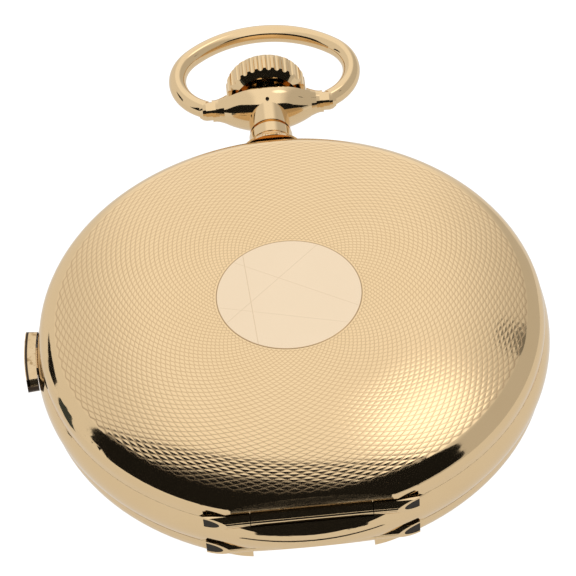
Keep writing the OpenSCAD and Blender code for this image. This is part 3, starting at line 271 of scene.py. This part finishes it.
# A dark strip just over the floor, which the upright face over the hinge tubes reflects
STRIP_Z = 0.1
STRIP_HALF = 11.6
STRIP_NEAR, STRIP_FAR = -33.95, -35.5
# Two dark things to the left, as y and z on upright planes, which mark the left border
CRESCENT_X = -125
CRESCENT_CARD = [(104.2, 73.4), (94, 82.1), (75.8, 82.2), (53.1, 69.7), (39.8, 41.5), (39.4, 30),
                 (53.1, 38.8), (67.1, 44.6), (89.5, 60.4)]
GREY_X = -45
GREY_CARD = [(-1.9, 12.7), (-1.6, 18.9), (-3.7, 21.2), (-7.8, 16.5), (-10.4, 4.5), (-7.7, 2.5), (-4.9, 5.5),
             (-2.9, 7.8)]
# A low dark one stands in front of the hinge
HINGE_CARD_Y = -44
HINGE_CARD_HALF = 12
HINGE_CARD_LOW, HINGE_CARD_TOP = 0.2, 9.5
# A dim round one stands to the right, on an upright plane along this direction
DIM_AT = (60.6, 34.8, 68.7)
DIM_R = 7
DIM_ALONG = (0.8, -0.6)
DIM_SIDES = 24
CARD_BLACK = (0.01, 0.01, 0.01)
CARD_GREY = (0.05, 0.065, 0.07)
CARD_DIM = (0.2, 0.2, 0.2)


def add_card(name, corners, color):
    """A flat glowing shape that only reflections show."""
    mesh = bpy.data.meshes.new(name)
    mesh.from_pydata([tuple(c * MM for c in v) for v in corners], [], [list(range(len(corners)))])
    card = bpy.data.objects.new(name, mesh)
    scene.collection.objects.link(card)
    for seen in ("visible_camera", "visible_diffuse", "visible_transmission", "visible_volume_scatter",
                 "visible_shadow"):
        setattr(card, seen, False)
    mat = bpy.data.materials.new(name)
    mat.use_nodes = True
    n = Nodes(mat.node_tree)
    glow = n.add("ShaderNodeEmission")
    glow.inputs["Color"].default_value = rgba(color)
    n.put(glow.outputs[0], n.add("ShaderNodeOutputMaterial").inputs[0])
    mesh.materials.append(mat)


def box_corners(u0, u1, v0, v1):
    return [(u0, v0), (u1, v0), (u1, v1), (u0, v1)]


def add_cards():
    add_card("black_card", [(x, y, CARD_Z) for x, y in BLACK_CARD], CARD_BLACK)
    add_card("crescent_card", [(CRESCENT_X, y, z) for y, z in CRESCENT_CARD], CARD_BLACK)
    add_card("grey_card", [(GREY_X, y, z) for y, z in GREY_CARD], CARD_GREY)
    upright = box_corners(-HINGE_CARD_HALF, HINGE_CARD_HALF, HINGE_CARD_LOW, HINGE_CARD_TOP)
    add_card("hinge_card", [(x, HINGE_CARD_Y, z) for x, z in upright], CARD_BLACK)
    flat = box_corners(-STRIP_HALF, STRIP_HALF, STRIP_FAR, STRIP_NEAR)
    add_card("floor_card", [(x, y, STRIP_Z) for x, y in flat], CARD_BLACK)
    x, y, z = DIM_AT
    disc = [(DIM_R * math.cos(a), DIM_R * math.sin(a))
            for a in np.linspace(0, 2 * math.pi, DIM_SIDES, endpoint=False)]
    add_card("dim_card", [(x + u * DIM_ALONG[0], y + u * DIM_ALONG[1], z + v) for u, v in disc], CARD_DIM)


add_cards()


# Materials: colours, then noise scales per metre and how much a noise or a cut darkens or roughens. The
# darkening in a cut is painted shade
GOLD = (0.83, 0.62, 0.365)
GOLD_DEEP = (0.8, 0.585, 0.33)
GOLD_FACE = (0.88, 0.657, 0.387)
GOLD_FACE_DEEP = (0.848, 0.62, 0.35)
# Colour of the painted shade in the engraving's cut lines
GOLD_CUT_PAINTED_SHADE = (0.62, 0.43, 0.24)
# The cartouche's two tones are paler than the case's gold, partly for its brushing and partly as a painted
# highlight
PLATE_GOLD_PAINTED_HIGHLIGHT = (0.88, 0.71, 0.51)
PLATE_GOLD_DEEP_PAINTED_HIGHLIGHT = (0.84, 0.67, 0.47)
# Colour of the painted shade line round the cartouche's edge, and of its scratches
PLATE_SHADE_AND_SCRATCH = (0.46, 0.3, 0.16)
SLIDE_GOLD = (0.78, 0.6, 0.38)
SLIDE_GOLD_DEEP = (0.62, 0.44, 0.23)
SLIDE_SPECK = (0.36, 0.22, 0.09)
# Near-black colour of the painted shade on the slide
SLIDE_PAINTED_SHADE = (0.05, 0.035, 0.025)
TONE_SCALE = 180.0
GLAZE_SCALE = 900.0
GLAZE_DARKER = 0.94
GLAZE_ROUGHER = 0.05
GLASS_SCALE = 300.0
GLASS_IOR = 1.5
GLASS_ROUGH = 0.02
CUT_FROM = 0.35
CUT_ROUGHER = 0.2
FACE_ROUGH = 0.07


def polished_metal(n):
    shader = n.add("ShaderNodeBsdfPrincipled")
    shader.inputs["Metallic"].default_value = 1.0
    return shader


def metal(n, color, dark, rough, rough_span, grain_scale, bump, stretch=None):
    """Metal in two near tones whose fine grain varies the roughness and stands up a little."""
    coord = n.add("ShaderNodeTexCoord").outputs["Object"]
    shader = polished_metal(n)
    tone = n.noise(coord, TONE_SCALE, 3.0)
    n.put(n.mix(tone, rgba(color), rgba(dark)), shader.inputs["Base Color"])
    fine = n.noise(n.stretched(coord, stretch) if stretch else coord, grain_scale, 4.0, 0.6)
    spread = n.math("MULTIPLY", fine, rough_span)
    n.put(n.math("ADD", spread, rough - rough_span / 2), shader.inputs["Roughness"])
    n.relief(fine, bump, shader)
    return shader


def glossy(n, color, rough):
    """Enamel, ink or stone in two near tones."""
    coord = n.add("ShaderNodeTexCoord").outputs["Object"]
    shader = n.add("ShaderNodeBsdfPrincipled")
    tone = n.noise(coord, GLAZE_SCALE, 2.0)
    other = tuple(c * GLAZE_DARKER for c in color)
    n.put(n.mix(tone, rgba(color), rgba(other)), shader.inputs["Base Color"])
    n.put(n.math("ADD", n.math("MULTIPLY", tone, GLAZE_ROUGHER), rough), shader.inputs["Roughness"])
    return shader


def clear_glass(n):
    coord = n.add("ShaderNodeTexCoord").outputs["Object"]
    shader = n.add("ShaderNodeBsdfPrincipled")
    shader.inputs["Transmission Weight"].default_value = 1.0
    shader.inputs["IOR"].default_value = GLASS_IOR
    tone = n.noise(coord, GLASS_SCALE, 2.0)
    n.put(n.math("MULTIPLY", tone, GLASS_ROUGH), shader.inputs["Roughness"])
    return shader


def engraved_gold(n):
    """Bright gold whose cut lines are rougher, and darker with painted shade."""
    coord = n.add("ShaderNodeTexCoord").outputs["Object"]
    shader = polished_metal(n)
    cut = n.step(n.add("ShaderNodeAttribute", attribute_name="cut").outputs["Fac"], CUT_FROM, 1.0)
    tone = n.mix(n.noise(coord, TONE_SCALE, 3.0), rgba(GOLD_FACE), rgba(GOLD_FACE_DEEP))
    n.put(n.mix(cut, tone, rgba(GOLD_CUT_PAINTED_SHADE)), shader.inputs["Base Color"])
    n.put(n.math("MULTIPLY_ADD", cut, CUT_ROUGHER, FACE_ROUGH), shader.inputs["Roughness"])
    return shader


# Scratches on the cartouche: direction in radians, distance from the middle in millimetres, and strength
SCRATCHES = ((0.06, -4.2, 0.35), (1.02, 1.6, 0.2), (-0.8, -2.4, 0.2), (1.3, -3.1, 0.15))
SCRATCH_OUT, SCRATCH_IN = 0.06, 0.02
# Radii over which the painted shade line round the cartouche's edge fades in
PLATE_SHADE_LINE_FROM, PLATE_SHADE_LINE_TO = 7.76, 7.82
PLATE_TONE_SCALE = 120.0
BRUSH_STRETCH = (9, 0.3, 1)
BRUSH_TURN = 0.05
BRUSH_SCALE = 900.0
BRUSH_ROUGH, BRUSH_ROUGHER = 0.18, 0.08
BRUSH_RELIEF = 0.12


def cartouche_look(n):
    """Pale gold, partly a painted highlight, with fine brushed lines, a few long scratches and a dark line of
    painted shade round its edge.
    """
    coord = n.add("ShaderNodeTexCoord").outputs["Object"]
    shader = polished_metal(n)
    gold = n.mix(n.noise(coord, PLATE_TONE_SCALE, 3.0), rgba(PLATE_GOLD_PAINTED_HIGHLIGHT), rgba(PLATE_GOLD_DEEP_PAINTED_HIGHLIGHT))
    # A ring of painted shade round the edge, joined below by the scratches
    marks = n.step(n.from_axis(coord), PLATE_SHADE_LINE_FROM * MM, PLATE_SHADE_LINE_TO * MM)
    x, y, _ = n.split(coord)
    for turn, offset, depth in SCRATCHES:
        along = n.math("MULTIPLY_ADD", y, math.sin(turn), -offset * MM)
        away = n.math("ABSOLUTE", n.math("MULTIPLY_ADD", x, math.cos(turn), along))
        scratch = n.math("MULTIPLY", n.step(away, SCRATCH_OUT * MM, SCRATCH_IN * MM), depth)
        marks = n.math("MAXIMUM", marks, scratch)
    n.put(n.mix(marks, gold, rgba(PLATE_SHADE_AND_SCRATCH)), shader.inputs["Base Color"])
    lines = n.noise(n.stretched(coord, BRUSH_STRETCH, (0, 0, BRUSH_TURN)), BRUSH_SCALE, 2.0, 0.7)
    n.put(n.math("ADD", n.math("MULTIPLY", lines, BRUSH_ROUGHER), BRUSH_ROUGH), shader.inputs["Roughness"])
    n.relief(lines, BRUSH_RELIEF, shader)
    return shader


# The painted shade line inside the slide's outer edge, as distances from the watch's axis: it fades in, and
# out again
SLIDE_SHADE_LINE_IN = (28.98, 29.06)
SLIDE_SHADE_LINE_OUT = (29.31, 29.25)
SLIDE_TONE_SCALE = 500.0
SPECK_SCALE = 1100.0
SPECK_FROM, SPECK_TO = 0.54, 0.68
SPECK_STRENGTH = 0.7
SLIDE_ROUGH, SPECK_ROUGHER = 0.2, 0.15
# The painted shade on the lower end is where a face looks this far towards -Y
END_SHADE_FROM, END_SHADE_FULL = -0.8, -0.95


def slide_look(n):
    """Worn gold with brown specks, and painted shade as a dark line inside the outer edge and a dark lower
    end.
    """
    texture = n.add("ShaderNodeTexCoord")
    coord = texture.outputs["Object"]
    shader = polished_metal(n)
    gold = n.mix(n.noise(coord, SLIDE_TONE_SCALE, 3.0), rgba(SLIDE_GOLD), rgba(SLIDE_GOLD_DEEP))
    specks = n.step(n.noise(coord, SPECK_SCALE, 3.0, 0.6), SPECK_FROM, SPECK_TO)
    marks = n.mix(n.math("MULTIPLY", specks, SPECK_STRENGTH), gold, rgba(SLIDE_SPECK))
    radius = n.from_axis(coord)
    rise, fall = (n.step(radius, low * MM, high * MM) for low, high in (SLIDE_SHADE_LINE_IN, SLIDE_SHADE_LINE_OUT))
    end_painted_shade = n.step(n.split(texture.outputs["Normal"])[1], END_SHADE_FROM, END_SHADE_FULL)
    # The dark line and the dark lower end are painted shade
    dark = n.math("MAXIMUM", n.math("MULTIPLY", rise, fall), end_painted_shade)
    n.put(n.mix(dark, marks, rgba(SLIDE_PAINTED_SHADE)), shader.inputs["Base Color"])
    n.put(n.math("MULTIPLY_ADD", specks, SPECK_ROUGHER, SLIDE_ROUGH), shader.inputs["Roughness"])
    return shader


# A metal has two tones, a roughness and its span, the scale and relief of its grain, and the grain's stretch
LOOKS = {
    "gold_engraved": lambda n: metal(n, GOLD, GOLD_DEEP, 0.07, 0.03, 2500.0, 0.05),
    "gold_cut_painted_shade": engraved_gold,
    "gold_polished": lambda n: metal(n, GOLD, GOLD_DEEP, 0.07, 0.04, 1500.0, 0.05),
    "cartouche_gold_painted_light": cartouche_look,
    "slide_gold_painted_shade": slide_look,
    "gold_inner": lambda n: metal(n, (0.84, 0.66, 0.4), (0.8, 0.6, 0.34), 0.22, 0.08, 1500.0, 0.1),
    "hinge_steel": lambda n: metal(n, (0.055, 0.045, 0.033), (0.03, 0.025, 0.02), 0.4, 0.15, 3000.0, 0.5),
    "steel": lambda n: metal(n, (0.6, 0.6, 0.62), (0.5, 0.5, 0.52), 0.25, 0.1, 2500.0, 0.2, (1, 8, 1)),
    "blued_steel": lambda n: metal(n, (0.03, 0.06, 0.28), (0.05, 0.04, 0.2), 0.15, 0.05, 2500.0, 0.05),
    "wheel_brass": lambda n: metal(n, (0.8, 0.58, 0.24), (0.74, 0.5, 0.18), 0.25, 0.1, 2500.0, 0.15),
    "nickel": lambda n: metal(n, (0.66, 0.65, 0.6), (0.6, 0.58, 0.52), 0.28, 0.12, 2500.0, 0.2, (1, 6, 1)),
    "enamel": lambda n: glossy(n, (0.88, 0.87, 0.82), 0.08),
    "crystal_glass": clear_glass,
    "ruby": lambda n: glossy(n, (0.45, 0.02, 0.06), 0.06),
    "print_black": lambda n: glossy(n, (0.012, 0.012, 0.014), 0.25),
}
MATS = {}


def build_material(name):
    mat = bpy.data.materials.get(name) or bpy.data.materials.new(name)
    mat.use_nodes = True
    n = Nodes(mat.node_tree)
    out = n.add("ShaderNodeOutputMaterial")
    shader = LOOKS[name](n)
    n.put(shader.outputs[0], out.inputs[0])
    MATS[name] = mat


for look in LOOKS:
    build_material(look)


# Pieces, given in millimetres
def new_piece(name, verts, faces, body, slot, material=None, smooth=True):
    mesh = bpy.data.meshes.new(name)
    mesh.from_pydata([tuple(v) for v in np.asarray(verts, float) * MM], [], faces)
    mesh.validate()
    obj = bpy.data.objects.new(name, mesh)
    scene.collection.objects.link(obj)
    mesh.polygons.foreach_set("use_smooth", [smooth] * len(mesh.polygons))
    mesh.materials.append(MATS[material or slot])
    mesh.update()
    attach(obj, body)
    return obj


def on_cover(verts, front):
    """Points over a cover's joint, moved to the back cover or mirrored down to the front cover."""
    if front:
        return np.asarray(verts) * (1, 1, -1) + (0, 0, COVER_H)
    return np.asarray(verts) + (0, 0, BACK_SEAM)


def dome_height(r):
    """Height of the outside of a cover above its joint."""
    r = np.asarray(r, float)
    arc = COVER_H - DOME_ARC_R + np.sqrt(DOME_ARC_R ** 2 - np.maximum(r - CARTOUCHE_R, 0) ** 2)
    return np.where(r <= CARTOUCHE_R, COVER_H, arc)


# Engine turning: wavy rows of grooves whose waves are staggered, so the metal between them stands as grains
WAVES = 102
PER_WAVE = 12
ROWS = 57
ROW_IN = 8.22
ROW_OUT = 25.35
WAVE_SWING = 0.46  # share of the distance between rows
GROOVE_SLOPE = 0.027
GROOVE_LIFT = 0.004
FADE_ROWS = 3
SKIRT_DROP = 0.12  # the layer's edges sink into the cover
SKIRT_W = 0.03
IN_MARGIN = 0.3
OUT_MARGIN = 0.25
UNDER_DROP = 0.3
UNDER_MARGIN = 0.2
UNDER_RINGS = 8
CHORD_MARGIN = 0.02


def engraving(name, body, front):
    """A thin closed layer on a cover, built of rings of points that run outwards and back underneath."""
    count = WAVES * PER_WAVE
    theta = np.arange(count) * 2 * math.pi / count
    pitch = (ROW_OUT - ROW_IN) / ROWS
    swing = WAVE_SWING * pitch
    rings = []

    def ring(r, h):
        r = np.broadcast_to(r, (count,))
        x, y = r * np.cos(theta), r * np.sin(theta)
        z = dome_height(r) + h
        rings.append(np.stack([x, y, z], 1))

    def groove(k):
        return ROW_IN + k * pitch + swing * np.cos(WAVES * theta + math.pi * k)

    ring(ROW_IN - IN_MARGIN, -SKIRT_DROP)
    ring(ROW_IN - IN_MARGIN + SKIRT_W, 0.0)
    for k in range(ROWS + 1):
        fade = min(1.0, (k + 1) / FADE_ROWS, (ROWS + 2 - k) / FADE_ROWS)
        ring(groove(k), GROOVE_LIFT)
        if k < ROWS:
            width = groove(k + 1) - groove(k)
            ring((groove(k) + groove(k + 1)) / 2, GROOVE_LIFT + GROOVE_SLOPE * width / 2 * fade)
    ring(ROW_OUT + OUT_MARGIN, 0.0)
    ring(ROW_OUT + OUT_MARGIN + SKIRT_W, -SKIRT_DROP)
    top_rings = len(rings)
    for r in np.linspace(ROW_OUT + UNDER_MARGIN, ROW_IN - UNDER_MARGIN, UNDER_RINGS):
        ring(r, -UNDER_DROP)
    verts = np.concatenate(rings)
    total = len(rings)
    here = np.arange(total * count).reshape(total, count)
    beside = np.roll(here, -1, axis=1)
    quads = np.stack([here, np.roll(here, -1, axis=0), np.roll(beside, -1, axis=0), beside], 2).reshape(-1, 4)
    verts = on_cover(verts, front)
    if front:
        quads = quads[:, ::-1]
        quads = quads[~((verts[quads][:, :, 1] < -HINGE_CHORD + CHORD_MARGIN).any(1))]
    obj = new_piece(name, verts, quads.tolist(), body, "gold_engraved", "gold_cut_painted_shade")
    mesh = obj.data
    edges = np.zeros(len(mesh.edges) * 2, int)
    mesh.edges.foreach_get("vertices", edges)
    edges = edges.reshape(-1, 2)
    ring_of = edges // count
    along_ring = (ring_of[:, 0] == ring_of[:, 1]) & (ring_of[:, 0] < top_rings)
    mesh.attributes.new("sharp_edge", "BOOLEAN", "EDGE").data.foreach_set("value", along_ring)
    # The grooves are every second ring after the two of the inner skirt
    depth = np.zeros(total)
    depth[2:2 + 2 * ROWS + 1:2] = 1
    # The groove rings mark where the cuts are rougher and get painted shade
    mesh.attributes.new("cut", "FLOAT", "POINT").data.foreach_set("value", np.repeat(depth, count))


engraving("back_engraving", "back_lid", False)
engraving("front_engraving", "front_lid", True)


# Plain cartouche inside a fine engraved line: a thin round plate, as radius and height of its edge's corners
PLATE_TOP = 0.03
PLATE_SUNK = -0.1
PLATE_EDGE = ((7.6, PLATE_TOP), (7.86, PLATE_TOP), (7.9, 0.015), (7.9, PLATE_SUNK))
PLATE_SIDES = 256
SHARP_ANGLE = math.radians(30)


def cartouche(name, body, front):
    verts = [(0, 0, COVER_H + PLATE_TOP), (0, 0, COVER_H + PLATE_SUNK)]
    for r, h in PLATE_EDGE:
        for i in range(PLATE_SIDES):
            a = 2 * math.pi * i / PLATE_SIDES
            verts.append((r * math.cos(a), r * math.sin(a), COVER_H + h))
    faces = []
    for i in range(PLATE_SIDES):
        j = (i + 1) % PLATE_SIDES
        faces.append((0, 2 + i, 2 + j))
        for k in range(len(PLATE_EDGE) - 1):
            a, b = 2 + k * PLATE_SIDES, 2 + (k + 1) * PLATE_SIDES
            faces.append((a + i, b + i, b + j, a + j))
        last = 2 + (len(PLATE_EDGE) - 1) * PLATE_SIDES
        faces.append((1, last + j, last + i))
    if front:
        faces = [f[::-1] for f in faces]
    obj = new_piece(name, on_cover(verts, front), faces, body, "gold_engraved", "cartouche_gold_painted_light")
    obj.data.set_sharp_from_angle(angle=SHARP_ANGLE)


cartouche("back_cartouche", "back_lid", False)
cartouche("front_cartouche", "front_lid", True)
bpy.data.objects["repeater_slide"].data.materials[0] = MATS["slide_gold_painted_shade"]


# The back cover's border runs on over the outer hinge tubes, as a thin roof with a low front wall. The border
# is two arcs, given as their centre's distance from the axis, its height over the joint, and their radius
SHOULDER_ARC = (24.844, -0.183, 3.077)
BORDER_ARC = (25.602, 0.72, 1.898)
SHOULDER_END = 26.82
CHEEK_FROM, CHEEK_TO = 6.26, 11.4
CHEEK_FRONT = 26.0
CHEEK_RIM_R = 27.46
CHEEK_WALL = 0.2
CHEEK_FOOT = BACK_SEAM + 0.96
CHEEK_OVERLAP = 0.05
CHEEK_CLEAR = 0.01
CHEEK_COLUMNS = 17
CHEEK_STEPS = 7


def border_height(r):
    """Height of a cover's polished border above its joint."""
    centre, base, arc_r = SHOULDER_ARC if r < SHOULDER_END else BORDER_ARC
    return min(float(dome_height(r)), base + math.sqrt(arc_r ** 2 - (r - centre) ** 2))


def hinge_cheek(name, side):
    """One cheek, on the right for side 1 and on the left for side -1."""
    verts, faces = [], []
    for x in np.linspace(CHEEK_FROM, CHEEK_TO, CHEEK_COLUMNS):
        front = min(CHEEK_FRONT, math.sqrt(CHEEK_RIM_R ** 2 - x * x))
        ys = np.linspace(HINGE_CHORD - CHEEK_OVERLAP, front, CHEEK_STEPS)
        top = [BACK_SEAM + border_height(math.hypot(x, y)) for y in ys]
        inner = front - CHEEK_WALL * (front - ys[0]) / (CHEEK_FRONT - ys[0])
        section = list(zip(ys, top)) + [(front, CHEEK_FOOT), (inner, CHEEK_FOOT)]
        for y in np.linspace(inner, ys[0], CHEEK_STEPS):
            under = BACK_SEAM + border_height(math.hypot(x, y)) - CHEEK_WALL
            section.append((y, max(under, CHEEK_FOOT + CHEEK_CLEAR)))
        verts += [(side * x, -y, z) for y, z in section]
    ring = len(section)
    for i in range(CHEEK_COLUMNS - 1):
        for k in range(ring):
            a, b = i * ring + k, i * ring + (k + 1) % ring
            faces.append([a, b, b + ring, a + ring][::side])
    first = list(range(ring))
    last = [(CHEEK_COLUMNS - 1) * ring + k for k in first]
    faces += [first[::-side], last[::side]]
    obj = new_piece(name, verts, faces, "back_lid", "gold_polished")
    obj.data.set_sharp_from_angle(angle=SHARP_ANGLE)


hinge_cheek("hinge_cheek_right", 1)
hinge_cheek("hinge_cheek_left", -1)


# Print on the dial: hour numerals, a minute track and a seconds track, as thin layers of ink
INK = 0.008
INK_SUNK = 0.01
NUMERAL_R = 17.4
NUMERAL_H = 3.6
SERIF_W = 0.1
RING_W = 0.06
MINUTE_RINGS = (20.0, 20.75)
MINUTE_RING_SIDES = 180
MINUTE_W, FIVE_MINUTE_W = 0.1, 0.3
SECONDS_DROP = 0.12
SECONDS_RING_W = 0.04
SECONDS_RINGS = (3.45, 3.95)
SECONDS_RING_SIDES = 96
SECONDS_LONG_FROM = 3.2
SECOND_W, FIVE_SECOND_W = 0.05, 0.09


class Print:
    """Outlines gathered into one mesh of ink."""

    def __init__(self):
        self.verts, self.faces = [], []

    def shape(self, points, z):
        """A closed outline in the plane of the dial, as a layer that sinks a little into it."""
        n, at = len(points), len(self.verts)
        self.verts += [(x, y, z - INK) for x, y in points] + [(x, y, z + INK_SUNK) for x, y in points]
        low = list(range(at, at + n))
        if area(points) > 0:
            low = low[::-1]
        high = [i + n for i in reversed(low)]
        self.faces += [low, high]
        for i in range(n):
            a, b = low[i], low[(i + 1) % n]
            self.faces.append([b, a, a + n, b + n])

    def bar(self, p, q, width, z):
        p, q = np.array(p, float), np.array(q, float)
        d = q - p
        side = np.array((-d[1], d[0])) / math.hypot(*d) * width / 2
        self.shape([tuple(corner) for corner in (p + side, q + side, q - side, p - side)], z)

    def ring(self, x, r_in, width, z, count):
        r_out = r_in + width
        for i in range(count):
            a, b = 2 * math.pi * i / count, 2 * math.pi * (i + 1) / count
            self.shape([(x + r * math.cos(t), r * math.sin(t))
                        for r, t in ((r_in, a), (r_out, a), (r_out, b), (r_in, b))], z)

    def mark(self, x, r_from, r_to, number, width, z):
        """One of sixty marks round the point x on the dial's middle line."""
        a = math.radians(6 * number)
        self.bar((x + r_from * math.cos(a), r_from * math.sin(a)),
                 (x + r_to * math.cos(a), r_to * math.sin(a)), width, z)


def area(points):
    """Twice the signed area of an outline."""
    x, y = np.array(points).T
    return float(np.sum(x * np.roll(y, -1) - y * np.roll(x, -1)))


# No 6, because the seconds dial is there. A letter has a width and strokes, each with two ends and a width
NUMERALS = {12: "XII", 1: "I", 2: "II", 3: "III", 4: "IIII", 5: "V", 7: "VII", 8: "VIII", 9: "IX", 10: "X",
            11: "XI"}
STROKES = {"I": (0.5, [((0, 0), (0, 1), 0.34)]),
           "V": (1.5, [((-0.55, 1), (0.02, 0), 0.36), ((0.58, 1), (0.02, 0), 0.12)]),
           "X": (1.5, [((-0.55, 1), (0.55, 0), 0.36), ((0.55, 1), (-0.55, 0), 0.12)])}


def numeral(ink, hour, r, height):
    word = NUMERALS[hour]
    widths = [STROKES[c][0] for c in word]
    turn = math.radians(30 * hour)
    out = np.array((math.cos(turn), math.sin(turn)))
    along = np.array((-math.sin(turn), math.cos(turn)))
    start = -sum(widths) / 2

    def place(u, v):
        return tuple(out * (r + (v - 0.5) * height) + along * u)

    for c, w in zip(word, widths):
        mid = start + w / 2
        for (u0, v0), (u1, v1), thick in STROKES[c][1]:
            ink.bar(place(mid + u0, v0), place(mid + u1, v1), thick, DIAL_Z)
        start += w
    span = sum(widths) / 2 - SERIF_W / 2
    for v in (0.0, 1.0):
        ink.bar(place(-span, v), place(span, v), SERIF_W, DIAL_Z)


def dial_print():
    ink = Print()
    for hour in NUMERALS:
        numeral(ink, hour, NUMERAL_R, NUMERAL_H)
    for r in MINUTE_RINGS:
        ink.ring(0, r, RING_W, DIAL_Z, MINUTE_RING_SIDES)
    track = [r + RING_W / 2 for r in MINUTE_RINGS]
    for i in range(60):
        ink.mark(0, track[0], track[1], i, FIVE_MINUTE_W if i % 5 == 0 else MINUTE_W, DIAL_Z)
    low = DIAL_Z + SECONDS_DROP
    for r in SECONDS_RINGS:
        ink.ring(SECONDS_X, r, SECONDS_RING_W, low, SECONDS_RING_SIDES)
    track = [r + SECONDS_RING_W / 2 for r in SECONDS_RINGS]
    for i in range(60):
        start = SECONDS_LONG_FROM if i % 15 == 0 else track[0]
        ink.mark(SECONDS_X, start, track[1], i, FIVE_SECOND_W if i % 5 == 0 else SECOND_W, low)
    new_piece("dial_print", ink.verts, ink.faces, "case", "enamel", "print_black", False)


dial_print()

scene.view_settings.view_transform = "Standard"
